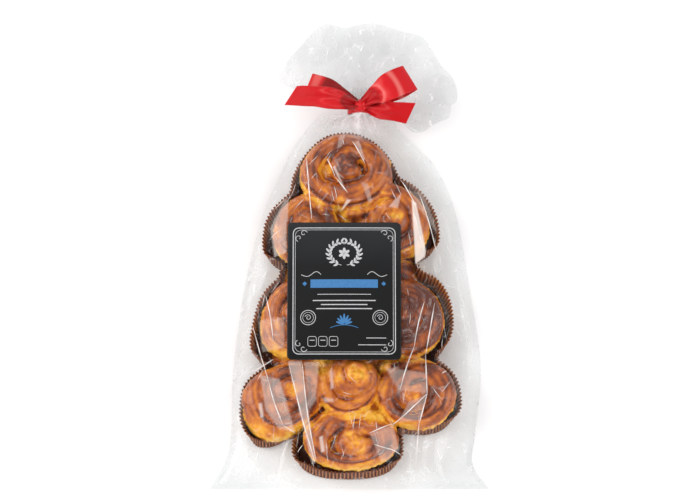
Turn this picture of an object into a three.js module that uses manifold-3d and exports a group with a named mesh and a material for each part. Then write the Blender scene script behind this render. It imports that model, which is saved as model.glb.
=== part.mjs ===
// A tree-shaped loaf of swirled sweet buns in a pleated paper case, shut in a clear bag.
// The bag lies on its back, +Z up. +X is the right of the shown side, +Y points to the bow.
// Lengths are millimetres. The group is centred on the middle of its footprint at the end.
import * as THREE from 'three';
import { mergeVertices } from 'three/addons/utils/BufferGeometryUtils.js';
import Module from 'manifold-3d';

const wasm = await Module();
wasm.setup();

// Driving dimensions of the loaf and its paper case
const WALL_HEIGHT = 23;
const WALL_LEAN = 5;
const NEAR_RIM_LEAN = 6.5;
const FLUTE_PITCH = 7.6;
const FLUTE_DEPTH = 1.5;
const RIM_INSET = 0.87;
const RIM_DROP = 7;
const DOUGH_LEVEL = 27;
const DOUGH_STATIONS = [
  [-166, 24],
  [-155, 36],
  [-125, 58],
  [-97, 70],
  [-62, 68],
  [-14, 60],
  [8, 56],
  [60, 42],
  [86, 20],
];
const DOUGH_LEAN = 4;
const BUN_SPRING = 14;
const BUN_SIDES = 16;
const BUN_FOLLOWS = 0.6;

// The rope of a swirl. Its path and its half-sizes go from the outer end to the crown as
// shares of the bun's smaller half-width. Rise and drop are measured down from the crown.
const ROPE = { away: [0.73, 0.24], halfWidth: [0.25, 0.17], halfHeight: [0.32, 0.23] };
const SWIRL_RISE = 12;
const SWIRL_DROP = 20;
const SWIRL_SIDES = 8;
const SWIRL_STEPS_PER_TURN = 12;
const SWIRL_LENGTH_STEPS = 5;
const NUB = { width: 0.2, height: 0.3 };

// One bun per lobe of the case: rim centre x, y, rim half-widths rx, ry, how much wider the
// rim is towards the foot of the tree than towards its tip, how far it leans sideways for each
// millimetre towards the tip, and how square it is, from 2 for an ellipse upwards. Then the
// crown height, how far the bun is pushed off the rim's centre, how much of each half-width it
// fills, where the swirl's eye lies from the bun's middle, and the swirl's start, sense and
// length in turns.
const LOBES = [
  {
    x: -4, y: 60, rx: 47, ry: 48, egg: 0.12, lean: 0, square: 2, crown: 50,
    push: [1, 10], fill: [0.87, 0.75], eye: [1, 4], start: 0.39, sense: 1, turns: 1.7,
  },
  {
    x: -43, y: 19, rx: 31.5, ry: 36, egg: 0.15, lean: 0.1, square: 2.4, crown: 46,
    push: [5, -1], fill: [0.88, 0.9], eye: [2, 2], start: 0.1, sense: 1, turns: 1.6,
  },
  {
    x: 41.5, y: 29, rx: 34, ry: 38, egg: 0.1, lean: -0.2, square: 2.3, crown: 46,
    push: [-4.5, -3], fill: [0.92, 0.88], eye: [-3, 2], start: 0.35, sense: -1, turns: 1.6,
  },
  {
    x: -50, y: -64, rx: 34.5, ry: 43, egg: 0.12, lean: 0.1, square: 2.5, crown: 47,
    push: [3, 2], fill: [0.88, 0.8], eye: [3, 0], start: 0.8, sense: 1, turns: 1.6,
  },
  {
    x: 53, y: -60, rx: 36, ry: 42, egg: 0.05, lean: 0, square: 2.3, crown: 47,
    push: [-4, -1], fill: [0.88, 0.8], eye: [-4, 0], start: 0.9, sense: -1, turns: 1.6,
  },
  {
    x: -57, y: -137, rx: 37, ry: 37, egg: -0.4, lean: 0.45, square: 2.5, crown: 46,
    push: [-1, 3], fill: [0.93, 0.84], eye: [9, 7], start: 0.9, sense: 1, turns: 1.7,
  },
  {
    x: 57, y: -128, rx: 38, ry: 35, egg: 0, lean: -0.1, square: 2.3, crown: 46,
    push: [-1, 3], fill: [0.92, 0.83], eye: [-3, -5], start: 0.5, sense: 1, turns: 1.7,
  },
  {
    x: -3, y: -121, rx: 28, ry: 29, egg: 0, lean: 0, square: 2, crown: 48,
    push: [1, 1], fill: [0.97, 0.97], eye: [7, 5], start: 0.62, sense: 1, turns: 1.9,
  },
  {
    x: -2, y: -170, rx: 47, ry: 32, egg: 0.1, lean: 0, square: 2.5, crown: 45,
    push: [3, 4], fill: [0.88, 0.87], eye: [5, -6], start: 0.39, sense: 1, turns: 1.6,
  },
];

// Driving dimensions of the bag. Each row gives y and the left and right edge of the film.
const BAG_ROWS = [
  [-206, -121, 120],
  [-184, -109, 106],
  [-158, -103, 108],
  [-97, -101, 113.5],
  [-21, -91, 103.5],
  [40, -76, 93],
  [80, -60, 77],
  [104, -48, 57],
  [119, -37, 42],
];
const SHOULDER_Y = 119;
const EDGE_THICKNESS = 1.6;
const SKIRT_HEIGHT = 15;
const BAG_ROW_COUNT = 22;
const SHOULDER_ROWS = 6;
const HALF_COLUMNS = 9;

// The tie: the bag's neck runs along Y through this point
const NECK = new THREE.Vector3(8.7, 129.5, 20);
const NECK_RADIUS = 9;
const NECK_HALF_LENGTH = 5.2;
const TENT_LENGTH = 42;
const TENT_SPREAD = 38;
const TENT_HEIGHT = 42;
const TENT_FADE = { full: 1, gone: 1.6 };
const NECK_PUFF = 5;
const PLEATS = 22;
const PLEAT_DEPTH = 1.6;
const PLEAT_REACH = 70;
const PLEAT_FADE_AT_EDGE = 8;
const PLEAT_ORIGIN = 12;
const COLUMN_CROWDING = 0.35;
const SEAM_LIFT = 0.3;

// The mouth of the bag above the tie: its reach from the neck at each angle from +X
const MOUTH_REACH = [
  [-22, 50],
  [-14, 63],
  [-4, 78],
  [4, 81],
  [12, 88],
  [32, 85],
  [52, 86],
  [72, 83],
  [97, 82],
  [113, 86],
  [136, 79],
  [158, 78],
];
const MOUTH_STEPS = 38;
const MOUTH_RINGS = [0, 0.12, 0.3, 0.52, 0.76, 1];
const MOUTH_SPREAD = 1.6;
const RUFFLE_WAVES = 7.3;
const SWELL_WAVES = 2.6;
const RUFFLE_HEIGHT = 8;
const MOUTH_DROOP = 4;
const MOUTH_THICKNESS = 1.6;
const MOUTH_BUNDLE = 6.3;
const MOUTH_OVERLAP = 0.5;

// The label stuck on the front, and the film drawn flat below it
const LABEL = { x: -5, y: -42, width: 98, length: 122, corner: 4.5, thickness: 0.8 };
const LABEL_EDGE_Z = 49;
const LABEL_CROWN = 1.6;
const LABEL_BULGE = 1.2;
const LABEL_SEAT_MARGIN = 2;
const LABEL_SEAT_FOOT = 19.5;
const LABEL_SEAT_SPREAD = { across: 8, along: 24 };
const GAP = 0.35;

// The ribbon: its width, the sheet's thickness in the model, and where it is knotted
const RIBBON_WIDTH = 25;
const RIBBON_THICKNESS = 1.1;
const KNOT = new THREE.Vector3(8.7, 129, 36.5);
const KNOT_SIZE = [6.8, 5.4, 4.6];
const BAND = { clearance: 0.65, thickness: 1.5, width: 8, bevel: 0.7 };

// Each loop and tail leaves the knot at a bearing in degrees from +X. A station gives the
// distance from the knot, the height above its middle and the band's width. The band turns
// about its length by a roll in radians, and a tail's end is cut slanting by a skew.
const LEFT_LOOP = {
  bearing: 160,
  roll: 0,
  stations: [
    [1, -2, 8],
    [15, -1, 17],
    [30, -1, 25],
    [45, 0, 25],
    [49, 2, 25],
    [45, 4.4, 25],
    [30, 5.4, 25],
    [15, 3.4, 17],
    [1, 2, 8],
  ],
};
const RIGHT_LOOP = {
  bearing: 30,
  roll: 0,
  stations: [
    [1, -2, 8],
    [16, 0.5, 17],
    [33, -0.5, 25],
    [47, -1, 25],
    [51, 0.5, 25],
    [47, 3.6, 25],
    [38, 7.4, 25],
    [28, 9, 24],
    [18, 6, 19],
    [11, 7.2, 14],
    [1, 2, 8],
  ],
};
const LEFT_TAIL = {
  bearing: 174,
  roll: -1.05,
  skew: 7,
  stations: [
    [1, 1, 8],
    [18, 11, 17],
    [39, 13, 22.5],
    [61, 9, 25],
  ],
};
const RIGHT_TAIL = {
  bearing: -7,
  roll: 1.05,
  skew: 3,
  stations: [
    [1, 0, 8],
    [14, -1.5, 16],
    [29, -5, 22.5],
    [45, -5.5, 25],
  ],
};

// Small helpers
const lerp = THREE.MathUtils.lerp;
const smooth = THREE.MathUtils.smoothstep;

// A closed body through rings with the same number of points. Each end is shut by a strip
// between opposite points of its ring, or by a fan to a middle point where one is given.
function loft(rings, startMiddle = null, endMiddle = null) {
  const count = rings[0].length;
  const points = rings.flat();
  const faces = [];
  for (let r = 0; r + 1 < rings.length; r += 1) {
    for (let i = 0; i < count; i += 1) {
      const j = (i + 1) % count;
      const a = r * count + i;
      const b = r * count + j;
      faces.push([a, b, b + count], [a, b + count, a + count]);
    }
  }
  const shut = (offset, middle, flip) => {
    const add = (a, b, c) => faces.push(flip ? [a, c, b] : [a, b, c]);
    if (middle) {
      points.push(middle);
      const m = points.length - 1;
      for (let i = 0; i < count; i += 1) add(offset + ((i + 1) % count), offset + i, m);
      return;
    }
    for (let i = 0; i + 1 < count / 2; i += 1) {
      const k = count - 1 - i;
      add(offset + i + 1, offset + i, offset + k);
      if (i + 1 < k - 1) add(offset + i + 1, offset + k, offset + k - 1);
    }
  };
  shut(0, startMiddle, false);
  shut((rings.length - 1) * count, endMiddle, true);
  let volume = 0;
  for (const [a, b, c] of faces) {
    volume += points[a].dot(new THREE.Vector3().crossVectors(points[b], points[c]));
  }
  const ordered = volume > 0 ? faces : faces.map(([a, b, c]) => [a, c, b]);
  const geometry = new THREE.BufferGeometry().setFromPoints(points);
  geometry.setIndex(ordered.flat());
  return geometry;
}

// A geometry as a solid for joining
function toSolid(geometry) {
  const plain = geometry.clone();
  plain.deleteAttribute('normal');
  plain.deleteAttribute('uv');
  const merged = mergeVertices(plain, 1e-4);
  return new wasm.Manifold(new wasm.Mesh({
    numProp: 3,
    vertProperties: new Float32Array(merged.attributes.position.array),
    triVerts: new Uint32Array(merged.index.array),
  }));
}

// The outer shell of a joined solid, without loose scraps and sealed hollows
const outerShell = (solid) => solid.decompose().sort((a, b) => b.volume() - a.volume())[0];

function toGeometry(solid) {
  const mesh = solid.getMesh();
  const geometry = new THREE.BufferGeometry();
  geometry.setAttribute('position', new THREE.BufferAttribute(new Float32Array(mesh.vertProperties), 3));
  geometry.setIndex(new THREE.BufferAttribute(new Uint32Array(mesh.triVerts), 1));
  return geometry;
}

// One solid from overlapping closed geometries. The shell is taken again after its corners
// are rounded to 32 bits and merged, because that can set free a flat scrap.
function join(geometries) {
  const shell = outerShell(wasm.Manifold.union(geometries.map(toSolid)));
  return toGeometry(outerShell(toSolid(toGeometry(shell))));
}

// Loaf and paper case

// How far a place lies from the middle of a rounded square, as a share of the way to its
// edge. A square of 2 makes it a circle.
const squareDistance = (across, along, square) => (
  (Math.abs(across) ** square + Math.abs(along) ** square) ** (1 / square)
);

// One lobe of the case: a leaning fluted wall with a rim that stands a little off the bun.
// Towards the foot of the tree the rim leans in over the bun.
function caseLobe({ x, y, rx, ry, egg, lean, square }) {
  const flutes = Math.round((Math.PI * (rx + ry)) / FLUTE_PITCH);
  const ring = (inset, z, fluted) => Array.from({ length: 2 * flutes }, (_, i) => {
    const angle = (Math.PI * i) / flutes;
    const edge = squareDistance(Math.cos(angle), Math.sin(angle), square);
    const across = Math.cos(angle) / edge;
    const along = Math.sin(angle) / edge;
    const depth = fluted && i % 2 ? FLUTE_DEPTH : 0;
    const near = NEAR_RIM_LEAN * smooth(-Math.sin(angle), 0.1, 0.95) * Math.min(1, z / WALL_HEIGHT);
    const up = (ry - inset - depth - near) * along;
    return new THREE.Vector3(
      x + (rx - inset - depth) * across * (1 - egg * along) + lean * up,
      y + up,
      z,
    );
  });
  const inner = (1 - RIM_INSET) * Math.min(rx, ry);
  const rings = [
    ring(WALL_LEAN, 0, true),
    ring(0, WALL_HEIGHT, true),
    ring(inner, WALL_HEIGHT - RIM_DROP, false),
  ];
  const middle = (z) => new THREE.Vector3(x, y, z);
  return loft(rings, middle(0), middle(WALL_HEIGHT - RIM_DROP));
}

// Middle and half-widths of the bun in a lobe. A bun follows the lean of its rim a little.
function bunSize({ x, y, rx, ry, lean, push, fill }) {
  return {
    x: x + push[0],
    y: y + push[1],
    halfX: fill[0] * rx,
    halfY: fill[1] * ry,
    slant: BUN_FOLLOWS * lean,
  };
}

// The rounded body of a bun inside its lobe
function bunBody(lobe) {
  const { x, y, halfX, halfY, slant } = bunSize(lobe);
  const { crown } = lobe;
  const level = (turn, fill) => Array.from({ length: BUN_SIDES }, (_, i) => {
    const angle = (2 * Math.PI * i) / BUN_SIDES;
    const up = halfY * Math.cos(turn) * Math.sin(angle);
    return new THREE.Vector3(
      x + halfX * Math.cos(turn) * Math.cos(angle) + slant * up,
      y + up,
      lerp(BUN_SPRING, crown - SWIRL_RISE, fill),
    );
  });
  const rings = [0, 0.4, 0.85, 1.25].map((turn) => level(turn, Math.sin(turn)));
  const foot = new THREE.Vector3(x, y, BUN_SPRING / 2);
  const top = new THREE.Vector3(x, y, crown - SWIRL_RISE);
  return loft([level(0, -0.2), ...rings], foot, top);
}

// The rolled rope of dough that makes the swirl on a bun, from its outer turn to its crown,
// as short lengths that don't cross themselves
function bunSwirl(lobe) {
  const { x, y, halfX, halfY, slant } = bunSize(lobe);
  const { crown, eye, start, sense, turns } = lobe;
  const steps = Math.round(SWIRL_STEPS_PER_TURN * turns);
  const size = Math.min(halfX, halfY);
  const rings = [];
  for (let i = 0; i <= steps; i += 1) {
    const s = i / steps;
    const angle = 2 * Math.PI * (start + sense * turns * s);
    const away = lerp(...ROPE.away, s ** 0.85);
    const inward = (ROPE.away[0] - away) / (ROPE.away[0] - ROPE.away[1]);
    const tuckedEnd = smooth(s, -0.12, 0.12);
    const halfWidth = size * lerp(...ROPE.halfWidth, s) * tuckedEnd;
    const halfHeight = size * lerp(...ROPE.halfHeight, s);
    const centreZ = lerp(crown - SWIRL_DROP, crown - halfHeight, s ** 0.9);
    rings.push(Array.from({ length: SWIRL_SIDES }, (_, k) => {
      const round = (2 * Math.PI * (k + 0.5)) / SWIRL_SIDES;
      const reach = halfWidth * Math.cos(round);
      const up = (away * halfY + reach) * Math.sin(angle);
      return new THREE.Vector3(
        x + eye[0] * inward + (away * halfX + reach) * Math.cos(angle) + slant * up,
        y + eye[1] * inward + up,
        centreZ + halfHeight * Math.sin(round),
      );
    }));
  }
  const lengths = [];
  for (let i = 0; i < steps; i += SWIRL_LENGTH_STEPS) {
    lengths.push(loft(rings.slice(i, i + SWIRL_LENGTH_STEPS + 1)));
  }
  const nub = new THREE.SphereGeometry(1, 10, 6);
  nub.rotateX(Math.PI / 2);
  nub.scale(NUB.width * size, NUB.width * size, NUB.height * size);
  nub.translate(x + eye[0], y + eye[1], crown - NUB.height * size);
  return [...lengths, nub];
}

// The dough that joins the buns below their grooves, a slab along the tree. Its stations
// give y and the half-width.
function joiningDough() {
  const rings = DOUGH_STATIONS.map(([y, half]) => [
    new THREE.Vector3(-half, y, 0),
    new THREE.Vector3(half, y, 0),
    new THREE.Vector3(half - DOUGH_LEAN, y, DOUGH_LEVEL),
    new THREE.Vector3(DOUGH_LEAN - half, y, DOUGH_LEVEL),
  ]);
  return loft(rings);
}

// Film of the bag

// How far a plan point lies outside the nearest lobe of the case
function beyondLoaf(x, y) {
  const distances = LOBES.map((lobe) => {
    const up = y - lobe.y;
    const along = up / lobe.ry;
    const halfWidth = lobe.rx * (1 - lobe.egg * Math.max(-1, Math.min(1, along)));
    const across = (x - lobe.x - lobe.lean * up) / halfWidth;
    return (squareDistance(across, along, lobe.square) - 1) * Math.min(lobe.rx, lobe.ry);
  });
  return Math.max(0, Math.min(...distances));
}

// Height of the front film: it falls from the case to the bag's edge, is drawn up in a tent
// to the tie, and is gathered in pleats that fan out from the tie
function filmHeight(x, y, left, right) {
  const toEdge = Math.max(0, Math.min(x - left, right - x, y - BAG_ROWS[0][0]));
  const share = toEdge / (toEdge + beyondLoaf(x, y) + 1e-6);
  const skirt = EDGE_THICKNESS + (SKIRT_HEIGHT - EDGE_THICKNESS) * share ** 1.5;
  const along = Math.max(0, (NECK.y - NECK_HALF_LENGTH - y) / TENT_LENGTH);
  const across = (x - lerp(NECK.x, LOBES[0].x, along)) / (NECK_RADIUS + TENT_SPREAD * along);
  const crest = lerp(NECK.z + NECK_RADIUS, TENT_HEIGHT, Math.min(1, along));
  const tentEnd = 1 - smooth(along, TENT_FADE.full, TENT_FADE.gone);
  const ridge = crest * tentEnd * smooth(1 - Math.abs(across), 0, 1);
  const fromTie = Math.hypot(x - NECK.x, y - NECK.y);
  const fade = smooth(PLEAT_REACH - fromTie, 0, PLEAT_REACH) * smooth(toEdge, 0, PLEAT_FADE_AT_EDGE);
  const bearing = Math.atan2(x - NECK.x, NECK.y - y + PLEAT_ORIGIN);
  const pleat = PLEAT_DEPTH * Math.sin(PLEATS * bearing) * fade;
  return Math.max(skirt, ridge) + pleat;
}

// One cross-section of the bag: its front from left to right, then its back. Towards the
// tie the flat section is drawn together into the round neck, and its sides puff forward.
function bagSection(y, left, right, gathered) {
  const puff = NECK_PUFF * Math.sin(Math.PI * gathered);
  const front = [];
  const back = [];
  for (let c = 0; c <= 2 * HALF_COLUMNS; c += 1) {
    const across = c / HALF_COLUMNS - 1;
    const eased = lerp(across, Math.sin((across * Math.PI) / 2), COLUMN_CROWDING);
    const x = lerp(left, right, (eased + 1) / 2);
    const round = (Math.PI * (1 - across)) / 2;
    const rim = new THREE.Vector3(
      NECK.x + NECK_RADIUS * Math.cos(round),
      y,
      NECK_RADIUS * Math.sin(round),
    );
    const lift = c === 0 || c === 2 * HALF_COLUMNS ? SEAM_LIFT : 0;
    const puffedY = y + puff * across ** 2;
    front.push(new THREE.Vector3(
      lerp(x, rim.x, gathered),
      puffedY,
      lerp(filmHeight(x, y, left, right), NECK.z + rim.z + lift, gathered),
    ));
    back.push(new THREE.Vector3(
      lerp(x, rim.x, gathered),
      puffedY,
      lerp(0, NECK.z - rim.z - lift, gathered),
    ));
  }
  return front.concat(back.reverse());
}

// The bag below the tie: a flat back on the ground and a front that follows the loaf
function bagBody() {
  const edges = new THREE.CatmullRomCurve3(
    BAG_ROWS.map(([y, left, right]) => new THREE.Vector3(left, y, right)),
    false,
    'catmullrom',
    0.5,
  );
  const rings = edges.getSpacedPoints(BAG_ROW_COUNT).map((edge) => (
    bagSection(edge.y, edge.x, edge.z, 0)
  ));
  const [, lastLeft, lastRight] = BAG_ROWS[BAG_ROWS.length - 1];
  const tieY = NECK.y - NECK_HALF_LENGTH;
  for (let i = 1; i <= SHOULDER_ROWS; i += 1) {
    const turn = (Math.PI * i) / (2 * SHOULDER_ROWS);
    const y = lerp(SHOULDER_Y, tieY, Math.sin(turn));
    rings.push(bagSection(y, lastLeft, lastRight, 1 - Math.cos(turn)));
  }
  rings.push(bagSection(NECK.y + NECK_HALF_LENGTH, lastLeft, lastRight, 1));
  return loft(rings);
}

// The crumpled mouth above the tie: a ruffled fan that spreads from the neck and thins
// from a gathered bundle to the film's doubled edge
function bagMouth() {
  const reach = new THREE.SplineCurve(MOUTH_REACH.map(([degrees, mm]) => new THREE.Vector2(degrees, mm)));
  const leaveY = NECK.y + NECK_HALF_LENGTH - MOUTH_OVERLAP;
  const rings = MOUTH_RINGS.map((share) => {
    const upper = [];
    const lower = [];
    const bundle = lerp(MOUTH_BUNDLE, MOUTH_THICKNESS / 2, Math.min(1, share * 2.2));
    for (let i = 0; i <= MOUTH_STEPS; i += 1) {
      const at = reach.getPoint(i / MOUTH_STEPS);
      const angle = THREE.MathUtils.degToRad(at.x);
      const turn = (2 * Math.PI * i) / MOUTH_STEPS;
      const inward = Math.sin((Math.PI * i) / MOUTH_STEPS) ** 0.5;
      const ruffle = 0.7 * Math.sin(RUFFLE_WAVES * turn + 2.2 * share);
      const swell = 0.5 * Math.sin(SWELL_WAVES * turn - share);
      const wave = RUFFLE_HEIGHT * share ** 1.3 * (ruffle + swell) * lerp(0.45, 1, inward);
      const height = NECK.z - MOUTH_DROOP * share + wave;
      const half = bundle * lerp(0.55, 1, inward);
      const leaveX = NECK.x + 0.8 * NECK_RADIUS * Math.cos((Math.PI * i) / MOUTH_STEPS);
      const x = lerp(leaveX, NECK.x + at.y * Math.cos(angle), share);
      const y = lerp(leaveY, NECK.y + at.y * Math.sin(angle), share ** MOUTH_SPREAD);
      upper.push(new THREE.Vector3(x, y, height + half));
      lower.push(new THREE.Vector3(x, y, height - half));
    }
    return upper.concat(lower.reverse());
  });
  return loft(rings);
}

// Label

// A rounded rectangle about the label's middle, at one height, larger than the label by a
// margin across and along it, then scaled
function labelOutline(z, across = 0, along = across, scale = 1) {
  const cornerSteps = 4;
  const radius = LABEL.corner + across;
  const halfX = LABEL.width / 2 + across - radius;
  const halfY = LABEL.length / 2 + along - radius;
  const corners = [[1, 1], [-1, 1], [-1, -1], [1, -1]];
  return corners.flatMap(([sx, sy], quarter) => (
    Array.from({ length: cornerSteps + 1 }, (_, i) => {
      const angle = (Math.PI / 2) * (quarter + i / cornerSteps);
      return new THREE.Vector3(
        LABEL.x + scale * (sx * halfX + radius * Math.cos(angle)),
        LABEL.y + scale * (sy * halfY + radius * Math.sin(angle)),
        z,
      );
    })
  ));
}

const labelMiddle = (z) => new THREE.Vector3(LABEL.x, LABEL.y, z);

// The film stretched from bun to bun under the label
function labelSeat() {
  const { across, along } = LABEL_SEAT_SPREAD;
  const shoulder = lerp(LABEL_SEAT_FOOT, LABEL_EDGE_Z, 0.55);
  const rings = [
    labelOutline(LABEL_SEAT_FOOT, across, along),
    labelOutline(shoulder, 0.5 * across, 0.4 * along),
    labelOutline(LABEL_EDGE_Z, LABEL_SEAT_MARGIN),
    labelOutline(LABEL_EDGE_Z + LABEL_BULGE, 0, 0, 0.5),
  ];
  return loft(rings, labelMiddle(LABEL_SEAT_FOOT), labelMiddle(LABEL_EDGE_Z + LABEL_CROWN));
}

function label() {
  const under = LABEL_EDGE_Z + GAP;
  const over = under + LABEL.thickness;
  const rings = [
    labelOutline(under + LABEL_BULGE, 0, 0, 0.5),
    labelOutline(under),
    labelOutline(over),
    labelOutline(over + LABEL_BULGE, 0, 0, 0.5),
  ];
  return loft(rings, labelMiddle(under + LABEL_CROWN), labelMiddle(over + LABEL_CROWN));
}

// Ribbon

// A flat band along a path of stations, turned about its length by its roll
function ribbonBand({ bearing: bearingDegrees, roll, stations, skew = 0 }) {
  const bearing = THREE.MathUtils.degToRad(bearingDegrees);
  const ahead = new THREE.Vector3(Math.cos(bearing), Math.sin(bearing), 0);
  const level = new THREE.Vector3(-Math.sin(bearing), Math.cos(bearing), 0);
  const length = Math.max(...stations.map(([out]) => out));
  const path = new THREE.SplineCurve(stations.map(([out, up]) => new THREE.Vector2(out, up)));
  const widths = new THREE.SplineCurve(stations.map(([, , width], i) => new THREE.Vector2(i, width)));
  const steps = 4 * (stations.length - 1);
  return loft(Array.from({ length: steps + 1 }, (_, i) => {
    const t = i / steps;
    const at = path.getPoint(t);
    const tangent = path.getTangent(t);
    const half = widths.getPoint(t).y / 2;
    const turn = roll * smooth(at.x / length, 0.1, 0.7);
    const rise = new THREE.Vector3(0, 0, tangent.x).addScaledVector(ahead, -tangent.y);
    const aside = level.clone().multiplyScalar(Math.cos(turn)).addScaledVector(rise, Math.sin(turn));
    const over = rise.clone().multiplyScalar(Math.cos(turn)).addScaledVector(level, -Math.sin(turn));
    const corner = (side, face) => KNOT.clone()
      .addScaledVector(ahead, at.x + (t === 1 ? skew * side : 0))
      .addScaledVector(aside, half * side)
      .addScaledVector(over, (RIBBON_THICKNESS / 2) * face)
      .add(new THREE.Vector3(0, 0, at.y));
    return [corner(-1, 1), corner(1, 1), corner(1, -1), corner(-1, -1)];
  }));
}

// The band round the neck, under the knot
function ribbonRing() {
  const inside = NECK_RADIUS + BAND.clearance;
  const outside = inside + BAND.thickness;
  const half = BAND.width / 2;
  const profile = [
    [inside, -half],
    [outside, -half + BAND.bevel],
    [outside, half - BAND.bevel],
    [inside, half],
    [inside, -half],
  ].map(([r, y]) => new THREE.Vector2(r, y));
  const ring = new THREE.LatheGeometry(profile, 28);
  ring.translate(NECK.x, NECK.y, NECK.z);
  return ring;
}

function ribbonKnot() {
  const knot = new THREE.SphereGeometry(1, 14, 8);
  knot.scale(...KNOT_SIZE);
  knot.translate(KNOT.x, KNOT.y, KNOT.z);
  return knot;
}

function ribbonBow() {
  return join([
    ribbonRing(),
    ribbonKnot(),
    ribbonBand(LEFT_LOOP),
    ribbonBand(LEFT_TAIL),
    ribbonBand(RIGHT_LOOP),
    ribbonBand(RIGHT_TAIL),
  ]);
}

// The whole pack

function namedMesh(name, geometry, color, roughness) {
  const material = new THREE.MeshStandardMaterial({ color, roughness, metalness: 0 });
  const mesh = new THREE.Mesh(geometry, material);
  mesh.name = name;
  return mesh;
}

const bag = join([
  bagBody(),
  bagMouth(),
  labelSeat(),
  joiningDough(),
  ...LOBES.flatMap((lobe) => [caseLobe(lobe), bunBody(lobe), ...bunSwirl(lobe)]),
]);

const pack = new THREE.Group();
pack.add(namedMesh('bag', bag, 0xb8763c, 0.35));
pack.add(namedMesh('label', label(), 0x24262a, 0.45));
pack.add(namedMesh('ribbon_bow', ribbonBow(), 0xc4161f, 0.4));

const footprint = new THREE.Box3().setFromObject(pack);
const middle = footprint.getCenter(new THREE.Vector3());
pack.position.set(-middle.x, -middle.y, -footprint.min.z);

const group = new THREE.Group();
group.add(pack);

export default group;
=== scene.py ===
# A tree-shaped loaf of swirled sweet buns in a pleated paper case, shut in a clear bag that is
# tied with a satin bow and carries a dark label. Shapes are worked out in millimetres in the
# plan frame of the solids' source, and a mesh is moved to the row frame when it is made.
import math
from collections import namedtuple
import bpy
import numpy as np
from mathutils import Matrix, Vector, noise


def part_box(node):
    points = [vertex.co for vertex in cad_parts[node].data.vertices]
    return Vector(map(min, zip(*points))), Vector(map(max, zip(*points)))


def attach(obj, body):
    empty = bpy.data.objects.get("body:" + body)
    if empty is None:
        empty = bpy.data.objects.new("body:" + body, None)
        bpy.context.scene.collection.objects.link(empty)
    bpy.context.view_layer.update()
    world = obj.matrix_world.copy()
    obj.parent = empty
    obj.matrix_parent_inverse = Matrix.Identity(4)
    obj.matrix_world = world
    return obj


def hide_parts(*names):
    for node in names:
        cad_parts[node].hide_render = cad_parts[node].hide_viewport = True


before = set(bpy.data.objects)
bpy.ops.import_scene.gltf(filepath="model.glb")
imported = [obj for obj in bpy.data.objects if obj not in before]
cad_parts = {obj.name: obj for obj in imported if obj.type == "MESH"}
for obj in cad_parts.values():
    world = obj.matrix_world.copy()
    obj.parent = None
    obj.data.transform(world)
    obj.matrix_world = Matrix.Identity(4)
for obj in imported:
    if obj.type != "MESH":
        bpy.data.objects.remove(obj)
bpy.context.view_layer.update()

MM = 0.001
TAU = 2 * math.pi

# Driving dimensions of the loaf and its paper case
WALL_HEIGHT = 23.5
WALL_LEAN = 5.0
RIM_LEAN_NEAR = 6.5
FLUTE_PITCH = 3.3
FLUTE_DEPTH = 0.8
FLUTE_POINTS = 6
PAPER_THICKNESS = 0.3
NOTCH_RADIUS = 4.0
DOUGH_LEVEL = 19.0
DOUGH_STATIONS = [
    (-172, 24), (-155, 38), (-125, 60), (-97, 72), (-62, 70), (-14, 62), (8, 58), (60, 45), (86, 22),
]
BUN_SPRING = 13.0
BUN_FOLLOWS = 0.6
BODY_DROP = 16.0
LOAF_VOXEL = 1.25

# A swirl is one rope of dough. Levels say how far out an edge of it lies, from 1 at the rim
# of the bun to 0 at the swirl's eye. The outer edge keeps its level for the first part of a
# turn and then crosses inwards by the rope's width, and the inner edge is where the outer
# edge comes round one turn later.
CROSSING = (0.55, 1.0)
TAIL_TURNS = 0.36
TAIL_OVERLAP = 5.0
TAIL_DROP = 5.0
ROPE_OVERLAP = 0.06
ROPE_HALF_HEIGHT = (0.34, 0.2)
THINNEST_ROPE = 2.2
SWIRL_RISE = 9.0
STEPS_PER_TURN = 48

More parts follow.
